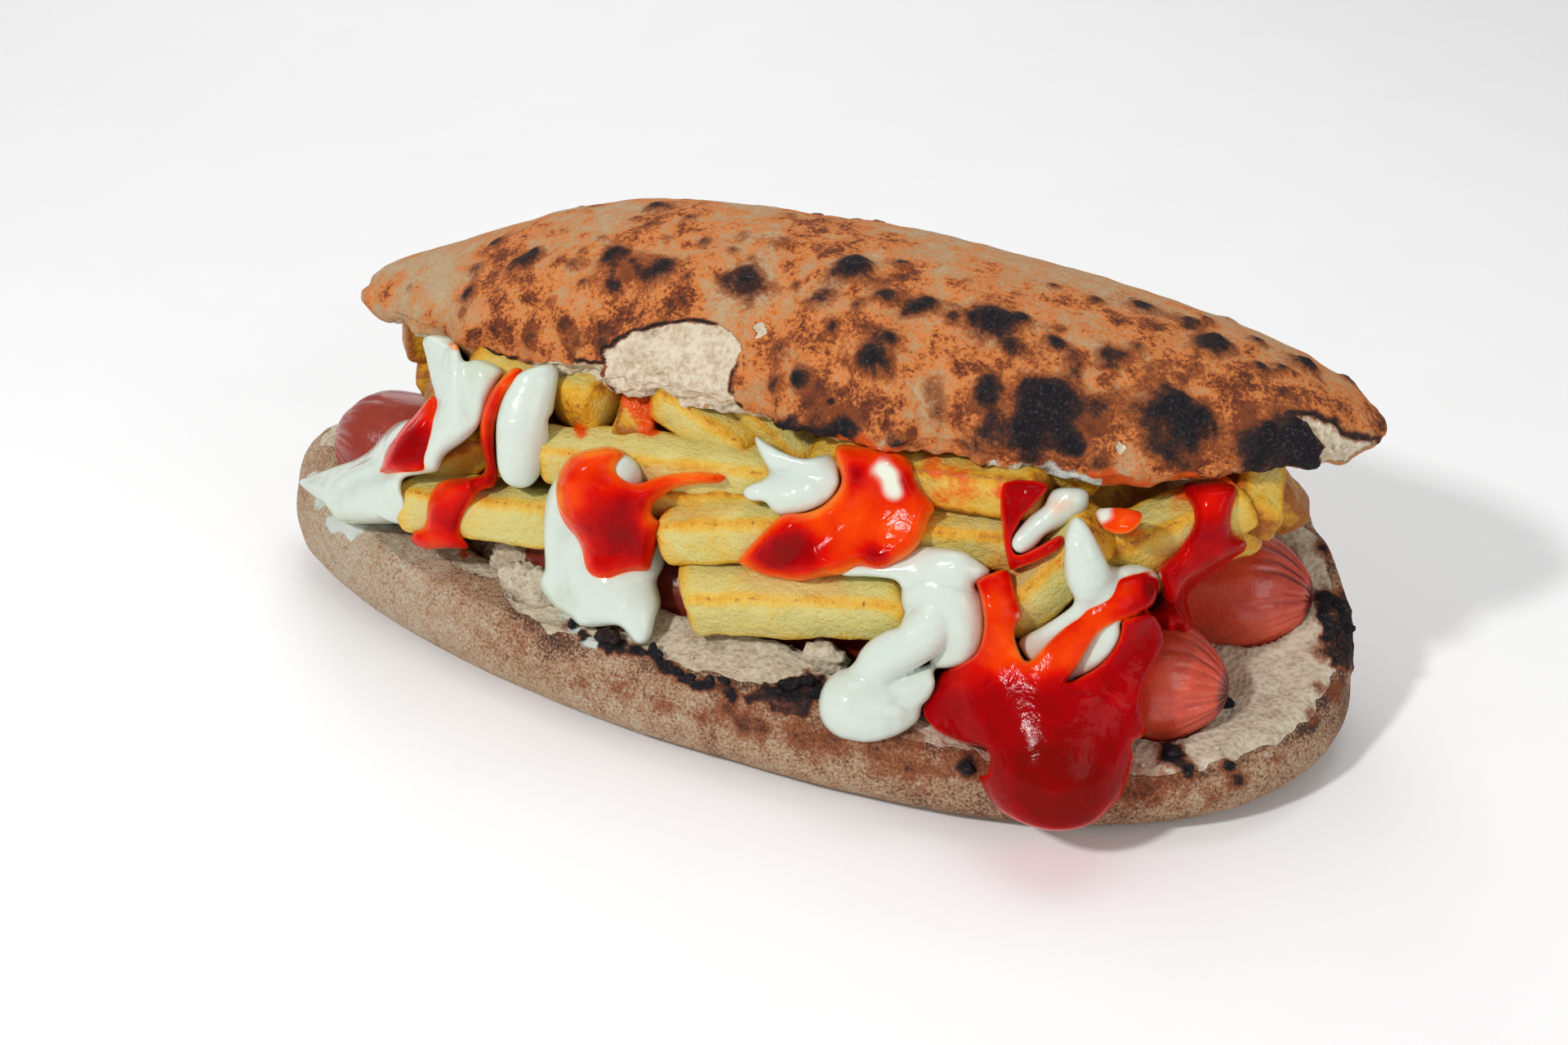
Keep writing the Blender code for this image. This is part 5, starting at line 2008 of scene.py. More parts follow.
@dataclass
class Fry:
    """One fry: a squared bar of potato, a little bent and uneven, with browned edges.

    Its flatness, edge radius, caps and sag are shares of its thickness.
    """

    start: Point
    end: Point
    thickness: float
    roll: float
    seed: int
    tone: float
    bend: float
    columns: int = 48
    cap_rows: int = 8
    straight_rows: int = 42
    flatness: float = 0.94
    squareness: float = 3.2
    edge_radius: float = 0.24
    cap_length: float = 0.34
    sag: float = 0.03
    taper: float = 0.07
    slant: float = 0.42

    def turn(self) -> Array:
        """Return the bar's directions as columns: two across and one along it."""
        axis = Vector(self.end) - Vector(self.start)
        roll = Matrix.Rotation(math.radians(self.roll), 3, "Z").to_quaternion()
        return np.array((axis.to_track_quat("Z", "Y") @ roll).to_matrix())

    def distance(self, points: Array) -> Array:
        """Measure to a box with rounded edges.

        Args:
            points: Places in the working frame.

        Returns:
            Signed distances.
        """
        length = np.linalg.norm(np.subtract(self.end, self.start))
        middle = np.add(self.start, self.end) / 2
        soft = self.edge_radius * self.thickness
        half = np.array([self.thickness, self.thickness * self.flatness, length]) / 2
        inside = np.abs((points - middle) @ self.turn()) - (half - soft)
        outer = np.linalg.norm(np.maximum(inside, 0), axis=-1)
        return outer + np.minimum(np.max(inside, axis=-1), 0) - soft

    def box(self) -> Box:
        """Return the box that holds the fry."""
        return box_round((self.start, self.end), self.thickness)

    def build(self, name: str, larder: Larder) -> bpy.types.Object:
        """Carry a rounded square along a slightly bent line.

        The section is the curve |x| ** n + |y| ** n = 1 for the squareness n. At each end
        it shrinks along the same curve. Noise makes the faces uneven.

        Args:
            name: The piece's name.
            larder: Gives the material.

        Returns:
            The new piece.
        """
        half = float(np.linalg.norm(np.subtract(self.end, self.start))) / 2
        cap = self.cap_length * self.thickness
        quarter = np.linspace(0.06, 1, self.cap_rows) * math.pi / 2
        shrink = np.sin(quarter)**(2 / self.squareness)
        reach = np.cos(quarter)**(2 / self.squareness) * cap
        along = np.concatenate([-half + cap - reach,
                                np.linspace(cap - half, half - cap, self.straight_rows)[1:-1],
                                half - cap + reach[::-1]])
        size = np.concatenate([shrink, np.ones(self.straight_rows - 2), shrink[::-1]])
        angles = np.linspace(0, 2 * math.pi, self.columns, endpoint=False)
        round_x, round_y = (np.sign(part) * np.abs(part)**(2 / self.squareness)
                            for part in (np.cos(angles), np.sin(angles)))
        local = np.stack([size[:, None] * round_x * self.thickness / 2,
                          size[:, None] * round_y * self.thickness * self.flatness / 2,
                          along[:, None] + 0 * angles], axis=-1)
        corner = smooth_step(np.minimum(np.abs(round_x), np.abs(round_y)) + 0 * size[:, None],
                             0.45, 0.84)
        tip = smooth_step(np.abs(along) / half, 1 - 5.0 / half, 1.0)[:, None]
        shifted = local + self.seed * 37.0
        skin = Skin(local, (local[0].mean(axis=0), local[-1].mean(axis=0)))
        skin.turn_outward()
        uneven = layered(shifted, ((0.9, 12.0, self.seed), (0.45, 5.0, 7), (0.18, 2.0, 8)))
        skin.swell(uneven - self.sag * self.thickness * (1 - corner) * (1 - tip))
        grid = skin.grid
        taper = 1 + self.taper * np.sin(self.seed * 1.7 + grid[..., 2] / half * 1.5)
        grid[..., 0] = grid[..., 0] * taper + self.bend * (1 - (grid[..., 2] / half)**2)
        slant = self.slant * math.sin(self.seed * 2.3)
        grid[..., 2] += slant * grid[..., 0] * np.abs(grid[..., 2] / half)**3
        skin.place(self.turn(), np.add(self.start, self.end) / 2)
        marks = {"edge": np.maximum(corner, tip), "stain": spot_shades(skin.grid, FRY_STAINS),
                 "tone": np.full(corner.shape, self.tone)}
        piece = skin.write(name, larder.materials[Slot.POTATO], marks)
        return larder.dress(piece, Slot.POTATO, "fries")


# Spots of thin ketchup on the fries; the one at (1500, 585) is painted shade under the upper half's
# lip.
FRY_STAINS = spot_table(
    (712, 528, 10, 0.7), (785, 500, 18, 0.8), (770, 478, 14, 0.8), (795, 525, 12, 0.8),
    (1180, 585, 34, 0.42), (1140, 565, 20, 0.5), (640, 465, 14, 0.8), (1150, 610, 14, 0.3),
    (1385, 645, 18, 0.5), (1240, 700, 12, 0.4), (1228, 600, 14, 0.7), (1300, 690, 10, 0.3),
    (1450, 600, 26, 0.6), (1490, 660, 20, 0.4), (1500, 585, 22, 0.7), (1310, 600, 30, 0.3),
)
# Each fry's two ends, thickness and tone. The dark tones 0.85 and 0.80 of the fries at the far
# right and far left are painted shade for fries in the upper half's shadow.
SHOWN_FRIES = (
    ((-77, -30, 38.4), (-36, -31, 42), 13.5, 0.10), ((-7, -40, 34), (42, -39, 42), 14.5, 0.06),
    ((-13, -35, 46), (20, -33, 53), 13.5, 0.18), ((-22, -30, 51), (10, -28, 57), 11.5, 0.35),
    ((-44, -31, 57), (10, -29, 60), 11.5, 0.08), ((-39, -27, 65), (-35, -1, 71), 13.5, 0.30),
    ((-24, -27, 61), (-26, -7, 78), 10.5, 0.36), ((-20, -23, 72), (2, -23, 61), 10.5, 0.20),
    ((-6, -17, 76), (16, -23, 61), 9.0, 0.30), ((34, -32, 54), (64, -30, 57), 12.0, 0.22),
    ((34, -30, 66), (66, -29, 68), 11.0, 0.45), ((60, -35, 42), (78, -32, 65), 12.5, 0.15),
    ((70, -31, 51), (102, -15, 67), 13.0, 0.25), ((105, -17, 62), (101, 4, 76), 11.0, 0.30),
    ((100, 4, 66), (110, 8, 51), 10.0, 0.85), ((-86, -2, 72), (-92, 6, 56), 10.0, 0.80),
    ((-74, -24, 43), (-58, -22, 53), 10.0, 0.40), ((-78, -8, 53), (-56, -12, 62), 11.0, 0.60),
    ((-64, -20, 70), (-46, -20, 66), 11.0, 0.35), ((18, -28, 62), (36, -24, 74), 11.0, 0.35),
    ((84, -26, 42), (58, -28, 46), 12.0, 0.40), ((52, -24, 76), (76, -20, 70), 11.0, 0.45),
    ((82, -10, 43), (103, 1, 54), 12.0, 0.40),
    ((-86, 22, 50), (-48, 33, 51), 11.5, 0.45), ((-46, 34, 50), (-6, 37, 50.5), 12.0, 0.35),
    ((-3, 37, 50.5), (37, 37, 50), 12.0, 0.45), ((40, 37, 50), (80, 28, 51), 11.5, 0.35),
    ((-92, 3, 50), (-76, 20, 58), 11.0, 0.40), ((-74, 12, 62), (-42, 26, 61), 10.5, 0.35),
    ((82, 24, 51), (100, 10, 50), 11.0, 0.45),
)


@dataclass
class FryHeap:
    """The heap of fries: a core darkened as painted shade, the fries that show, and more behind
    them.
    """

    centre: Point = (1.0, 3.0, 49.0)
    half_sizes: Point = (93.0, 34.0, 33.0)
    squareness: float = 0.62
    lean: float = 0.38
    lean_start: float = 45.0
    shrink: float = 4.0
    rows: int = 44
    columns: int = 96
    fries: list[Fry] = field(default_factory=list)

    def __post_init__(self) -> None:
        """Lay out the fries that the photograph shows, then those behind them."""
        for index, (start, end, thickness, tone) in enumerate(SHOWN_FRIES):
            bend = 0.9 * math.sin(index * 2.1)
            self.fries.append(Fry(start, end, thickness, (37 * index) % 23, index + 1, tone, bend))

    def core(self, larder: Larder) -> bpy.types.Object:
        """Build the core: a squared ellipsoid that leans back with height.

        Args:
            larder: Gives the material.

        Returns:
            The new piece.
        """
        ball = unit_ball(self.rows, self.columns)
        sizes = np.array(self.half_sizes) - self.shrink
        grid = np.sign(ball) * np.abs(ball)**self.squareness * sizes + np.array(self.centre)
        poles = np.array([[0, 0, -sizes[2]], [0, 0, sizes[2]]]) + np.array(self.centre)
        for points in (grid, poles):
            points[..., 1] += self.lean * np.maximum(points[..., 2] - self.lean_start, 0)
        skin = Skin(grid, (poles[0], poles[1]))
        skin.swell(0.8 * soft_noise(grid, 8.0, 201) - 0.8)
        shape = grid.shape[:2]
        # The core's dark tone is painted shade for the gaps between the fries.
        piece = skin.write("fries_core", larder.materials[Slot.POTATO],
                           {"edge": np.full(shape, 0.3), "tone": np.full(shape, 0.75),
                            "stain": np.zeros(shape)})
        return larder.dress(piece, Slot.POTATO, "fries")

    def build(self, larder: Larder) -> None:
        """Build the core and every fry.

        Args:
            larder: Gives the material.
        """
        self.core(larder)
        for index, fry in enumerate(self.fries):
            fry.build(f"fry_{index + 1:02d}", larder)


# Sauces ---


class Outline:
    """A closed line in the photograph, with distances to it kept on an even grid of pixels."""

    def __init__(self, corners: Corners, margin: float = 45.0, step: float = 1.5,
                 smooth: bool = True) -> None:
        """Measure the distances in millimetres, below 0 inside the line.

        Args:
            corners: The line's corners in pixels.
            margin: How far round the line the grid reaches.
            step: The grid's spacing.
            smooth: Whether the line curves through its corners.
        """
        loop = smooth_loop(corners, 3) if smooth else list(corners)
        low, high = np.min(loop, axis=0) - margin, np.max(loop, axis=0) + margin
        self.low, self.step = low, step
        grid = np.meshgrid(*(np.arange(*ends, step) for ends in zip(low, high)), indexing="ij")
        self.table = polygon_distance(*grid, loop) / VIEW.scale()

    def distance(self, points: Array) -> Array:
        """Read the distance of each point's pixel, in straight lines between the grid's.

        Args:
            points: Places in the working frame.

        Returns:
            Signed distances in millimetres across the line of sight.
        """
        place = (np.stack(VIEW.project(points), axis=-1) - self.low) / self.step
        place = np.clip(place, 0, np.array(self.table.shape) - 1.001)
        row, column = place.astype(int).T
        down, across = (place - place.astype(int)).T
        table = self.table
        upper = table[row, column] * (1 - across) + table[row, column + 1] * across
        lower = table[row + 1, column] * (1 - across) + table[row + 1, column + 1] * across
        return upper * (1 - down) + lower * down


@dataclass(frozen=True)
class Spread:
    """How a sauce has spread, as the photograph shows it.

    The swell widens its strands. A sheet has a thickness; a rope has none. Within the band
    along its outline it is thin, and base is how thin it is elsewhere. The blend is the
    distance over which its strands flow together. A full sheet also lies over its own
    strands, so that it keeps a body where nothing else carries it. A crease is a line in
    the photograph where two streams meet.
    """

    corners: Corners
    swell: float
    thickness: float = 0.0
    band: float = 1.5
    base: float = 0.22
    blend: float = 1.2
    full: bool = False
    creases: tuple[Corners, ...] = ()


@dataclass
class Sauce:
    """A sauce poured in strands that flow together and cling to what they cover."""

    name: str
    slot: Slot
    strands: tuple[Strand, ...]
    spread: Spread
    blend: float
    drape: float = 7.0
    edge_round: float = 3.2
    step: float = 0.6
    crease_depth: float = 1.5
    crease_width: float = 1.6
    margin: float = 1.2
    near: float = 3.0
    unsupported: float = 40.0
    full_edge: float = 0.5
    full_blend: float = 6.0
    sheet_blend: float = 1.5
    cut_blend: float = 1.0
    ripple: float = 0.16
    ripple_size: float = 7.0
    edge_thinning: float = 0.36
    supports: list[Carrier] = field(default_factory=list)
    balls: list[Array] = field(default_factory=list)
    outline: Outline = field(init=False)
    creases: list[Outline] = field(init=False)

    def __post_init__(self) -> None:
        """Carry each strand's centre and radius through its knots on a smooth curve."""
        self.outline = Outline(self.spread.corners)
        self.creases = [Outline((*line, *line[::-1]), smooth=False) for line in self.spread.creases]
        for strand in self.strands:
            knots = np.array(strand, dtype=float)
            at = np.linspace(0, len(knots) - 1, 3 * (len(knots) - 1) + 1)
            self.balls.append(smooth_curve(knots, at))

    def box(self) -> Box:
        """Return the box that holds the sauce."""
        every = np.concatenate(self.balls)
        wide = every[:, 3:] + self.spread.swell + self.margin
        return (every[:, :3] - wide).min(axis=0), (every[:, :3] + wide).max(axis=0)

    def lean_on(self, supports: list[Carrier]) -> None:
        """Keep those supports whose boxes meet the sauce's own."""
        self.supports += [other for other in supports if boxes_meet(self.box(), other.box())]

    def strand_distance(self, points: Array) -> Array:
        """Measure to the strands: tapered round rods end to end, joined smoothly.

        Args:
            points: Places in the working frame.

        Returns:
            Signed distances.
        """
        total = None
        for balls in self.balls:
            nearest = np.full(len(points), FAR)
            for first, second in zip(balls[:-1], balls[1:]):
                axis = second[:3] - first[:3]
                length = max(float(axis @ axis), TINY)
                part = np.clip((points - first[:3]) @ axis / length, 0, 1)
                away = np.linalg.norm(points - first[:3] - part[:, None] * axis, axis=-1)
                nearest = np.minimum(nearest, away - first[3] - part * (second[3] - first[3]))
            total = nearest if total is None else smooth_least(total, nearest, self.blend)
        return total

    def under(self, points: Array) -> tuple[Array, Array]:
        """Measure to what carries the sauce.

        Args:
            points: Places in the working frame.

        Returns:
            Distances to the nearest support, and to a sheet draped over all of them.
        """
        nearest = np.full(len(points), self.unsupported)
        draped = nearest.copy()
        for support in self.supports:
            far = support.distance(points)
            nearest = np.minimum(nearest, far)
            draped = smooth_least(draped, far, self.drape)
        return nearest, draped

    def creased(self, points: Array) -> Array:
        """Measure across the line of sight to the nearest crease."""
        return np.min([np.abs(line.distance(points)) for line in self.creases], axis=0)

    def distance(self, points: Array) -> Array:
        """Measure to the sauce: swollen strands, cut along the outline in the photograph.

        A sheet also stands no further than its thickness from a cloth draped over what
        carries it, and that thickness rises from 0 at the outline like a quarter circle.
        A low ripple runs over all.

        Args:
            points: Places in the working frame.

        Returns:
            Signed distances.
        """
        total = self.strand_distance(points) - self.spread.swell
        near = total < self.near
        if np.any(near):
            column = self.outline.distance(points[near])
            form = total[near]
            if self.spread.thickness > 0:
                inward = np.clip(-column / self.edge_round, 0, 1)
                edge = self.full_edge if self.spread.full else 0.0
                depth = self.spread.thickness * (1 - (1 - edge) * (1 - inward)**2)
                carried = self.under(points[near])[1]
                if self.spread.full:
                    carried = smooth_least(carried, form + self.spread.swell, self.full_blend)
                form = -smooth_least(-form, depth - carried, self.sheet_blend)
            total[near] = -smooth_least(-form, -column, self.cut_blend)
        if self.creases:
            total[near] += self.crease_depth * np.exp(
                -((self.creased(points[near]) / self.crease_width)**2))
        return total + self.ripple * soft_noise(points, self.ripple_size, len(self.name))

    def build(self, larder: Larder, over: list["Sauce"]) -> bpy.types.Object:
        """Find the sauce's skin and mark where it is thin or stained.

        Args:
            larder: Gives the material.
            over: Sauces whose colour runs into this one.

        Returns:
            The new piece.
        """
        low, high = self.box()
        corners, faces = skin_round(self.distance, low, high, self.step)
        inward = -self.outline.distance(corners)
        rim = smooth_step(inward, self.spread.band, -0.2)
        thin = self.spread.base + self.edge_thinning * rim
        # Ketchup takes spots of thickness; mayonnaise takes spots of painted shade, which darken it
        # through the "thin" mark.
        thickness_and_shade_spots = THICK_SPOTS if self.slot is Slot.KETCHUP else MAYONNAISE_SHADE_SPOTS
        thin = thin + spot_shades(corners, thickness_and_shade_spots)
        # Partly ketchup stains, partly painted shade.
        stain = spot_shades(corners, MAYONNAISE_STAIN_AND_SHADE_SPOTS)
        for sauce in over:
            if boxes_meet((low, high), sauce.box()):
                stain = np.maximum(stain, smooth_step(sauce.distance(corners), 0.7, -0.4))
        piece = make_piece(f"{self.name}_flow", corners, faces, larder.materials[self.slot],
                           {"thin": np.clip(thin, 0, 1), "stain": stain,
                            "cream": spot_shades(corners, CREAM_SPOTS)})
        return larder.dress(piece, self.slot, self.name)


THICK_SPOTS = spot_table(
    (762, 655, 26, -0.25), (768, 620, 16, -0.1), (735, 640, 18, -0.05), (698, 610, 24, 0.35),
    (735, 560, 34, 0.35), (795, 640, 16, 0.3), (835, 585, 40, 0.25), (975, 672, 30, -0.5),
    (940, 680, 22, -0.3), (1072, 685, 20, -0.4), (1050, 585, 16, -0.35), (1128, 590, 24, -0.4),
    (500, 545, 20, -0.12), (530, 505, 22, 0.3), (560, 640, 18, -0.1), (545, 600, 24, 0.25),
    (530, 672, 26, 0.25), (600, 520, 20, 0.25), (620, 462, 30, 0.3), (1230, 880, 60, -0.05),
    (1295, 960, 62, -0.30), (1220, 740, 30, 0.40), (1225, 795, 34, 0.48), (1268, 805, 30, 0.42),
    (1315, 800, 30, 0.42), (1345, 755, 30, 0.48), (1385, 722, 24, 0.30), (1180, 830, 24, 0.15),
    (1412, 725, 12, -0.25), (1250, 650, 22, -0.1), (1265, 680, 16, 0.1), (1480, 620, 22, 0.2),
    (1480, 650, 24, -0.05), (1450, 680, 26, 0.05), (1375, 632, 20, 0.25), (1425, 765, 20, 0.0),
    (1220, 712, 14, 0.1), (1000, 640, 18, 0.15), (1040, 640, 26, 0.15), (1100, 650, 26, 0.15),
)
CREAM_SPOTS = spot_table(
    (1082, 576, 14, 0.9), (1094, 588, 14, 0.9), (1096, 604, 12, 0.8), (1350, 626, 13, 1.0),
    (1368, 697, 6, 0.9), (1385, 694, 6, 0.9), (1402, 696, 6, 0.9), (1414, 703, 6, 0.8),
    (1245, 752, 6, 0.5), (770, 586, 5, 0.6),
)
# Painted shade on the mayonnaise: spots where it is darkened under the upper half's lip and in
# other shaded places.
MAYONNAISE_SHADE_SPOTS = spot_table(
    (590, 452, 24, 0.55), (576, 500, 20, 0.35), (430, 640, 20, 0.35), (400, 600, 22, 0.25),
    (688, 740, 20, 0.3), (1330, 825, 20, 0.2),
)
# Spots that turn the mayonnaise orange: ketchup stains, with painted shade at the top of the left
# stream and, mixed with a stain, over the hook's upper part.
MAYONNAISE_STAIN_AND_SHADE_SPOTS = spot_table(
    (557, 424, 8, 1.0), (1310, 612, 22, 0.4), (1290, 625, 16, 0.35), (1348, 660, 8, 0.2),
    (1030, 700, 10, 0.4), (640, 450, 10, 0.4),
)
MAYONNAISE = {
    "mayo_left_end": (
        ((-77, -15, 70, 4.5), (-71, -22, 64, 4.5), (-70, -24, 56, 4.8), (-73, -28, 47, 4.5)),
        ((-60, -22, 70, 3.6), (-59, -25, 65, 4.4), (-62, -27, 59, 4.6), (-68, -28, 52, 3.8)),
        ((-72, -25, 52, 4.5), (-82, -20, 44, 4.5), (-91, -14, 38, 5.0), (-100, -13, 33, 4.6),
         (-108, -12, 29, 4.0), (-116, -8, 26, 2.5)),
        ((-86, -20, 36, 4.5), (-96, -18, 31, 5.5), (-104, -16, 27, 4.2)),
        ((-73, -28, 44.5, 3.4), (-80, -27, 39.5, 4.4), (-86, -26, 36, 4.8),
         (-93, -24, 31.5, 4.6), (-98, -22, 29, 3.4)),
    ),
    "mayo_drip": (
        ((-46, -27, 71, 5.0), (-47, -32, 63, 5.8), (-48, -34, 55, 5.6), (-50, -33, 48, 3.8)),
    ),
    "mayo_drape": (
        ((-26, -37, 58, 5.0), (-35, -34, 46, 5.0), (-38, -34, 34, 5.0), (-35, -36, 25, 5.0)),
        ((-26, -37, 58, 5.0), (-27, -31, 41, 8.6), (-24, -36, 31, 8.4), (-17, -42, 27.5, 4.0),
         (-15, -44, 26, 2.4)),
        ((-42, -35, 28, 2.2), (-37, -38, 25, 3.0), (-28, -41, 26, 3.6)),
    ),
    "mayo_swirl": (
        ((3, -31, 69, 1.6), (10, -32, 67, 2.8), (17, -32, 67, 2.8), (22, -32, 64, 3.2)),
        ((5, -35, 61, 2.4), (11, -35, 59, 4.0), (17, -34, 60, 5.0), (23, -32, 63, 3.6)),
    ),
    "mayo_patch": (
        ((28, -39, 47, 2.2), (36, -39, 49, 3.0), (45, -38, 50, 3.4), (51, -38, 52, 3.2),
         (56, -35, 50, 2.2)),
    ),
    "mayo_squiggle": (
        ((41.3, -39, 42, 4.2), (43.1, -39.5, 46, 4.6), (47.5, -40, 48.6, 4.8),
         (52, -40.5, 46.6, 4.9), (54, -41, 42, 4.9), (54, -41.5, 37, 4.4), (51.4, -42, 34, 3.4)),
        ((48.6, -42.5, 45.4, 3.8), (47.6, -44, 41.4, 4.7), (43.9, -45.5, 38, 4.9),
         (39.2, -46.5, 33.8, 4.9), (37.6, -47.5, 29, 4.6), (40.6, -48, 26.4, 4.2),
         (45.1, -47, 27.4, 4.0), (48.4, -45.5, 29.8, 3.0)),
        ((34.6, -51, 24.4, 7.0), (39.6, -50.5, 23.6, 6.2), (43.9, -49, 23.6, 4.2)),
    ),
    "mayo_peak": (
        ((74.5, -39, 68, 1.0), (76, -41, 64.5, 2.7), (77.5, -41, 59, 3.8), (77, -40, 53, 3.2)),
        ((76, -41, 51, 3.2), (70, -40, 41.5, 3.0), (66.5, -40.6, 37.5, 2.0)),
        ((80, -39, 55, 3.2), (82.5, -39.8, 48, 3.4), (81, -40.4, 42, 3.4), (77, -42, 35.5, 2.4)),
        ((78.5, -38, 56, 2.4), (83.5, -35, 56.5, 2.0), (87.5, -31, 53.5, 2.0)),
    ),
    "mayo_hook": (
        ((71, -31, 68.5, 2.9), (68.5, -33, 65.5, 2.4), (65, -35, 62, 2.3), (63, -37, 60, 1.6)),
    ),
}
KETCHUP = {
    "ketchup_left_stripe": (
        ((-73, -29, 57.5, 3.0), (-77, -31, 49, 4.5), (-82, -30, 40.5, 5.2)),
    ),
    "ketchup_left_spill": (
        ((-52, -30, 71, 2.2), (-58, -31, 65, 2.4), (-59, -32, 58, 2.5), (-59, -33, 51, 2.8),
         (-61, -36, 47, 3.4), (-63, -38, 43, 4.6), (-64, -39, 38, 4.8), (-67, -37, 30, 4.2),
         (-75, -33, 26, 3.0)),
    ),
    "ketchup_heart": (
        ((-28, -40, 62, 4.2), (-28, -38, 54, 7.3), (-26, -39, 46, 7.6), (-25, -39, 39, 6.2),
         (-24, -40, 35, 4.6)),
        ((-22, -39, 50, 5.2), (-17, -38, 56, 3.4), (-10, -38, 60, 2.2), (-2, -38, 61, 1.5)),
    ),
    "ketchup_centre": (
        ((30, -32, 71, 4.0), (29, -35, 65, 5.2), (25, -37, 56, 6.7), (19, -42, 50, 6.0),
         (11, -42, 46, 3.8)),
        ((32, -33, 70, 4.4), (38, -36, 67, 4.6), (40, -38, 63, 4.8), (41, -40, 58, 5.0),
         (38, -41, 52, 4.3)),
        ((25, -37, 56, 6.7), (32, -38, 55, 6.8), (39, -40, 56, 5.0)),
    ),
    "ketchup_pool": (
        ((59, -39, 51, 3.4), (60.5, -42, 47, 4.4), (62, -41.5, 38, 5.4), (65, -41, 30, 6.4)),
        ((87.6, -33.4, 52.8, 2.9), (83.6, -37.8, 52.2, 3.9), (79.5, -40.8, 47.2, 4.1),
         (74, -41.8, 39.2, 4.5), (68, -41, 30, 6.0)),
        ((53, -43, 23, 5.4), (62, -42, 26, 8.0), (73, -41, 28, 8.4), (81.5, -39, 31, 7.2),
         (86, -37, 38, 5.8), (88, -33, 42.5, 3.9)),
        ((82, -39, 30, 6.0), (87, -40, 29, 5.0), (89, -41, 27, 2.8)),
        ((68, -44, 24, 8.5), (74, -48, 20.5, 12.5), (76.5, -50, 18.5, 12.4)),
    ),
    "ketchup_right_run": (
        ((96, -23, 71, 5.4), (98, -26, 66, 4.9), (97, -24, 59.5, 5.4), (93, -15, 49, 5.8),
         (90, -14, 41, 5.4), (90, -17, 38, 3.6)),
        ((100, -9, 53, 3.0), (97, -10, 49, 4.2), (93, -8, 40, 4.6), (91, -8, 32, 3.6)),
    ),
    "ketchup_dab": (
        ((78, -35, 66, 1.9), (82, -37, 67, 2.8), (86, -38, 68, 2.3)),
    ),
    "ketchup_inner": (
        ((63, -34, 71, 3.4), (62, -34, 63, 2.6), (63, -36, 57, 2.2), (69.5, -38, 60.5, 1.9)),
    ),
}


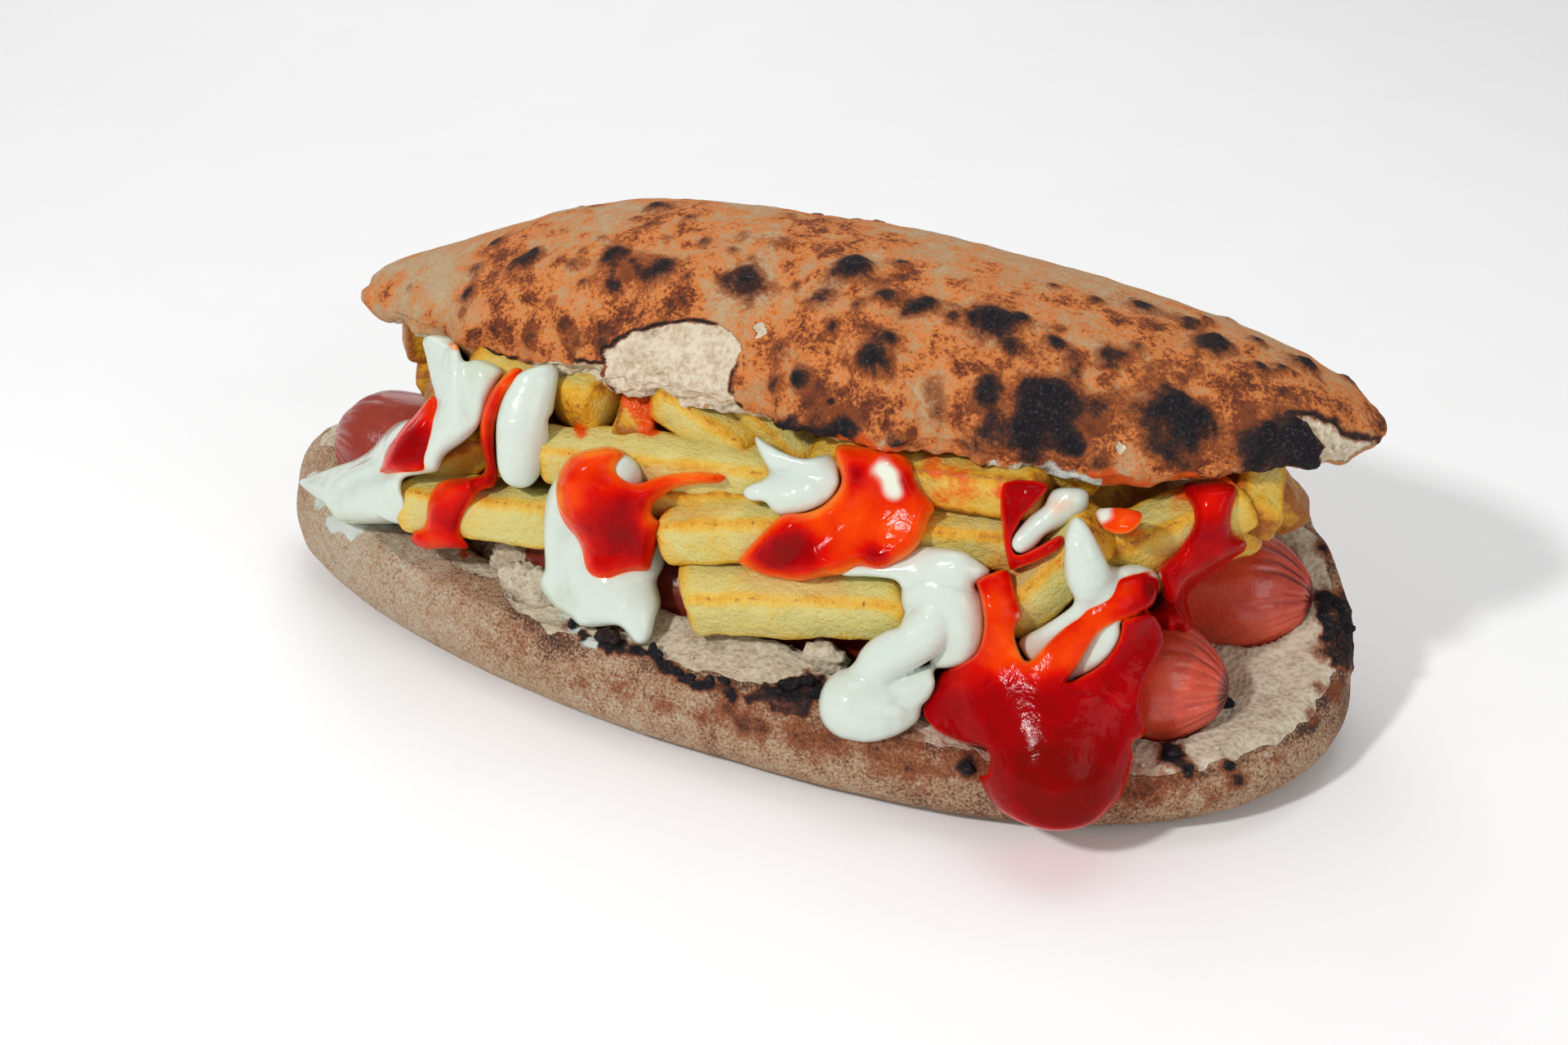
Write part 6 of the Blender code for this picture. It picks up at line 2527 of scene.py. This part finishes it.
SPREADS = {
    "mayo_left_end": Spread((
        (520, 412), (523, 440), (529, 470), (532, 490), (512, 508), (487, 518), (470, 532),
        (455, 550), (435, 563), (405, 573), (380, 584), (366, 590), (378, 602), (396, 617),
        (412, 634), (430, 641), (470, 642), (500, 640), (498, 618), (492, 602), (495, 586),
        (518, 581), (537, 577), (545, 558), (568, 541), (588, 520), (598, 492), (608, 470),
        (616, 456), (606, 446), (590, 441), (573, 436), (567, 425), (560, 414)), 6.0, 4.0,
        full=True, creases=(((569, 420), (569, 450), (571, 480), (574, 512)),
                            ((480, 576), (460, 582), (438, 589), (421, 600), (411, 612)))),
    "mayo_drip": Spread((
        (625, 470), (615, 490), (608, 520), (608, 560), (612, 580), (620, 592), (635, 598),
        (650, 595), (662, 580), (672, 550), (672, 530), (671, 514), (677, 506),
        (680, 490), (683, 470), (684, 455), (675, 445), (640, 455)), 1.2),
    "mayo_drape": Spread((
        (690, 575), (672, 600), (667, 625), (666, 665), (667, 698), (660, 712), (667, 728),
        (682, 745), (698, 755), (710, 766), (730, 768), (757, 766), (770, 778), (780, 789),
        (792, 787), (799, 774), (803, 757), (809, 742), (808, 728), (804, 712), (810, 700),
        (815, 688), (812, 664), (806, 650), (795, 600), (780, 565), (750, 555),
        (715, 560)), 3.0, 3.5, full=True),
    "mayo_swirl": Spread((
        (925, 534), (940, 543), (960, 554), (985, 562), (1008, 558), (1024, 553), (1026, 572),
        (1028, 592), (1018, 610), (1000, 622), (975, 630), (955, 631), (945, 625), (936, 614),
        (918, 613), (909, 603), (918, 594), (934, 588), (940, 576), (932, 560),
        (926, 546)), 1.0, blend=0.6),
    "mayo_patch": Spread((
        (1028, 704), (1045, 690), (1078, 690), (1100, 683), (1122, 668), (1150, 671),
        (1178, 675), (1198, 687), (1213, 700), (1203, 711), (1192, 716), (1205, 740),
        (1160, 740), (1110, 730), (1098, 712), (1070, 707)), 3.0, 2.5, full=True),
    "mayo_squiggle": Spread((
        (1104, 722), (1112, 708), (1128, 698), (1145, 697), (1160, 704), (1175, 718),
        (1200, 714), (1206, 740), (1206, 770), (1200, 795), (1185, 812), (1160, 818),
        (1143, 820), (1145, 838), (1138, 855), (1128, 865), (1126, 880), (1105, 897),
        (1072, 909), (1040, 914), (1015, 906), (1002, 888), (1001, 862), (1008, 838),
        (1024, 818), (1046, 811), (1052, 798), (1068, 782), (1088, 771), (1103, 764)),
        0.3, blend=0.3),
    "mayo_peak": Spread((
        (1316, 632), (1326, 636), (1338, 650), (1350, 673), (1362, 694), (1385, 690),
        (1410, 695), (1421, 708), (1420, 730), (1400, 748), (1373, 760), (1372, 778),
        (1362, 798), (1343, 817), (1318, 830), (1303, 836), (1290, 830), (1262, 812),
        (1250, 795), (1246, 783), (1275, 768), (1300, 752), (1316, 736), (1306, 715),
        (1302, 690), (1304, 655), (1309, 640)), 0.9),
    "mayo_hook": Spread((
        (1247, 678), (1238, 668), (1240, 655), (1250, 642), (1262, 630), (1280, 618),
        (1285, 600), (1333, 600), (1333, 622), (1330, 630), (1310, 640), (1295, 647),
        (1280, 655), (1268, 670), (1258, 677)), 0.9),
    "ketchup_left_stripe": Spread((
        (530, 482), (540, 488), (543, 500), (541, 520), (534, 545), (527, 575), (525, 578),
        (467, 580), (466, 572), (475, 548), (490, 526), (508, 504), (520, 486)),
        5.0, 2.6, 3.0, 0.22),
    "ketchup_left_spill": Spread((
        (612, 465), (628, 450), (650, 447), (668, 450), (655, 461), (634, 468), (622, 478),
        (613, 500), (607, 530), (608, 560), (613, 585), (618, 597), (592, 600), (580, 612),
        (570, 630), (563, 652), (572, 663), (583, 668), (578, 680), (550, 682), (525, 689),
        (508, 680), (500, 660), (508, 650), (520, 645), (523, 615), (533, 594), (548, 586),
        (575, 583), (592, 578), (590, 560), (586, 535), (589, 510), (598, 485)),
        3.0, 2.4, 1.6, 0.34),
    "ketchup_heart": Spread((
        (728, 549), (740, 547), (755, 549), (765, 556), (756, 570), (757, 580), (765, 588),
        (775, 592), (787, 591), (800, 585), (815, 581), (835, 579), (860, 579), (882, 581),
        (889, 586), (879, 592), (855, 593), (835, 596), (820, 602), (809, 610), (799, 620),
        (800, 632), (812, 640), (814, 650), (810, 662), (803, 680), (800, 695), (795, 700),
        (775, 700), (760, 703), (745, 709), (730, 708), (720, 702), (715, 692), (712, 675),
        (705, 660), (695, 648), (687, 635), (682, 620), (680, 600), (683, 585), (690, 570),
        (700, 558), (715, 551)), 3.5, 3.0, 3.0, 0.34),
    "ketchup_centre": Spread((
        (1022, 545), (1028, 575), (1030, 590), (1022, 605), (1005, 620), (985, 628),
        (960, 630), (945, 640), (930, 655), (915, 670), (903, 688), (918, 697), (938, 706),
        (953, 709), (970, 712), (986, 712), (998, 709), (1012, 706), (1030, 703), (1050, 693),
        (1065, 695), (1078, 697), (1095, 690), (1110, 682), (1125, 668), (1132, 655),
        (1137, 640), (1140, 630), (1145, 625), (1138, 612), (1128, 600), (1120, 585),
        (1118, 570), (1108, 555), (1090, 548), (1060, 545)), 3.5, 3.2, 3.0, 0.58),
    "ketchup_pool": Spread((
        (1196, 712), (1215, 702), (1232, 697), (1238, 705), (1243, 725), (1250, 745),
        (1252, 755), (1245, 765), (1243, 780), (1250, 800), (1258, 810), (1270, 800),
        (1290, 780), (1310, 760), (1322, 740), (1335, 725), (1350, 710), (1362, 700),
        (1375, 703), (1400, 697), (1412, 700), (1420, 712), (1418, 728), (1411, 744),
        (1394, 751), (1378, 757), (1362, 764), (1346, 775), (1335, 790), (1321, 814),
        (1306, 836), (1322, 829), (1345, 816), (1363, 796), (1372, 778), (1374, 762),
        (1380, 759), (1396, 753), (1412, 750), (1425, 766), (1430, 785), (1425, 800), (1415, 815),
        (1405, 835), (1400, 860), (1402, 885), (1405, 895), (1395, 905), (1385, 910),
        (1388, 930), (1383, 950), (1372, 975), (1355, 995), (1335, 1010), (1300, 1018),
        (1265, 1013), (1235, 1000), (1210, 985), (1195, 965), (1190, 950), (1205, 950),
        (1210, 945), (1208, 920), (1185, 915), (1160, 905), (1145, 895), (1132, 880),
        (1128, 865), (1140, 850), (1145, 835), (1145, 822), (1170, 815), (1190, 805),
        (1200, 790), (1205, 765), (1203, 740), (1200, 725)), 1.6, 13.0, 1.2, 0.20, blend=9.0),
    "ketchup_right_run": Spread((
        (1450, 590), (1455, 615), (1460, 622), (1462, 640), (1455, 655), (1440, 675),
        (1425, 690), (1418, 700), (1422, 715), (1420, 730), (1410, 745), (1395, 752),
        (1405, 757), (1420, 765), (1432, 775), (1440, 770), (1450, 775), (1462, 768),
        (1458, 750), (1455, 730), (1470, 715), (1490, 700), (1510, 685), (1525, 675),
        (1528, 665), (1522, 660), (1512, 655), (1508, 640), (1510, 620), (1515, 600),
        (1500, 590)), 6.5, 3.0, 0.6, 0.26),
    "ketchup_dab": Spread((
        (1340, 630), (1343, 620), (1352, 615), (1375, 616), (1395, 616), (1400, 625),
        (1397, 640), (1385, 652), (1370, 655), (1355, 650), (1345, 640)), 1.8, 0.0, 1.2, 0.5),
    "ketchup_inner": Spread((
        (1228, 590), (1283, 592), (1270, 615), (1255, 630), (1245, 645), (1238, 660),
        (1240, 675), (1250, 680), (1280, 665), (1300, 655), (1303, 665), (1285, 680),
        (1265, 690), (1245, 697), (1235, 695), (1228, 650)), 2.5, 1.5, 1.6, 0.20),
}


class Sauces:
    """All the mayonnaise and ketchup, laid in the order in which they were poured."""

    ketchup_blend = 5.0

    def __init__(self, supports: list[Carrier]) -> None:
        """Pour each sauce over the supports and over the sauces before it."""
        self.mayonnaise = [
            Sauce(name, Slot.MAYONNAISE, strands, SPREADS[name], SPREADS[name].blend)
            for name, strands in MAYONNAISE.items()]
        self.ketchup = [
            Sauce(name, Slot.KETCHUP, strands, SPREADS[name],
                  max(SPREADS[name].blend, self.ketchup_blend))
            for name, strands in KETCHUP.items()]
        for sauce in self.mayonnaise:
            sauce.lean_on(supports)
        for sauce in self.ketchup:
            sauce.lean_on(supports + self.mayonnaise)

    def build(self, larder: Larder) -> None:
        """Build every sauce.

        Args:
            larder: Gives the materials.
        """
        for sauce in self.mayonnaise + self.ketchup:
            over = self.ketchup if sauce.slot is Slot.MAYONNAISE else []
            piece = sauce.build(larder, over)
            LOG.info("%s: %d faces", piece.name, len(piece.data.polygons))


# Surroundings ---


@dataclass(frozen=True)
class Lamp:
    """A square soft light that looks at the part: place and size in metres, power in watts."""

    name: str
    place: Point
    size: float
    power: float
    aim: Point = (0.0, 0.0, 0.04)

    def add(self) -> None:
        """Hang the lamp in the scene and turn it to its aim."""
        light = bpy.data.lights.new(self.name, "AREA")
        light.shape, light.size, light.energy = "SQUARE", self.size, self.power
        lamp = bpy.data.objects.new(self.name, light)
        bpy.context.scene.collection.objects.link(lamp)
        lamp.location = self.place
        direction = Vector(self.aim) - Vector(self.place)
        lamp.rotation_euler = direction.to_track_quat("-Z", "Y").to_euler()


LAMPS = (
    Lamp("key", (-0.25, -0.75, 0.70), 0.08, 6.0),
    Lamp("fill", (0.75, -0.45, 0.45), 0.50, 1.8),
    Lamp("top", (0.0, 0.25, 0.95), 0.70, 2.6),
    Lamp("back", (-0.5, 0.8, 0.5), 0.60, 1.8),
)


@dataclass
class Studio:
    """A pale floor, an even sky and soft lamps round the part."""

    floor_half: float = 1.6
    sky: float = 0.34

    def floor(self) -> None:
        """Lay the floor: a square of pale, faintly uneven matt board."""
        half = self.floor_half
        mesh = bpy.data.meshes.new("floor")
        mesh.from_pydata([(-half, -half, 0), (half, -half, 0), (half, half, 0), (-half, half, 0)],
                         [], [(0, 1, 2, 3)])
        mix = Recipe("floor_board")
        mix.set(Base_Color=mix.blend(mix.noise(40.0), shade(252, 252, 252), shade(247, 247, 247)),
                Roughness=0.9)
        mesh.materials.append(mix.material)
        floor = bpy.data.objects.new("floor", mesh)
        bpy.context.scene.collection.objects.link(floor)

    def build(self) -> None:
        """Set up floor, lamps, sky and plain colour management."""
        self.floor()
        for lamp in LAMPS:
            lamp.add()
        world = bpy.data.worlds.new("studio")
        world.use_nodes = True
        sky = world.node_tree.nodes["Background"]
        sky.inputs["Color"].default_value = (1.0, 1.0, 1.0, 1.0)
        sky.inputs["Strength"].default_value = self.sky
        bpy.context.scene.world = world
        bpy.context.scene.view_settings.view_transform = "Standard"


def main() -> None:
    """Build the studio and every part of the panuozzo."""
    logging.basicConfig(level=logging.INFO, format="%(name)s: %(message)s")
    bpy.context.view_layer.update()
    VIEW.add_camera()
    Studio().build()
    larder = Larder()
    lower = LowerHalf()
    lower.build(larder)
    LOG.info("lower half done")
    UpperHalf().build(larder)
    LOG.info("upper half done")
    # Painted shade on the frankfurters: the rear one at its left end under the upper half, the
    # front one along its left part under the fries.
    Frankfurter("rear_frankfurter", "sausage_rear", REAR_ROD, 3, painted_shade=0.66).build(larder)
    Frankfurter("front_frankfurter", "sausage_front", FRONT_ROD, 8, painted_shade=0.85,
                painted_shade_reach=(66.0, 42.0)).build(larder)
    LOG.info("frankfurters done")
    heap = FryHeap()
    heap.build(larder)
    LOG.info("%d fries done", len(heap.fries))
    Sauces([*heap.fries, REAR_ROD, FRONT_ROD, lower]).build(larder)
    LOG.info("sauces done")


if __name__ == "__main__":
    main()
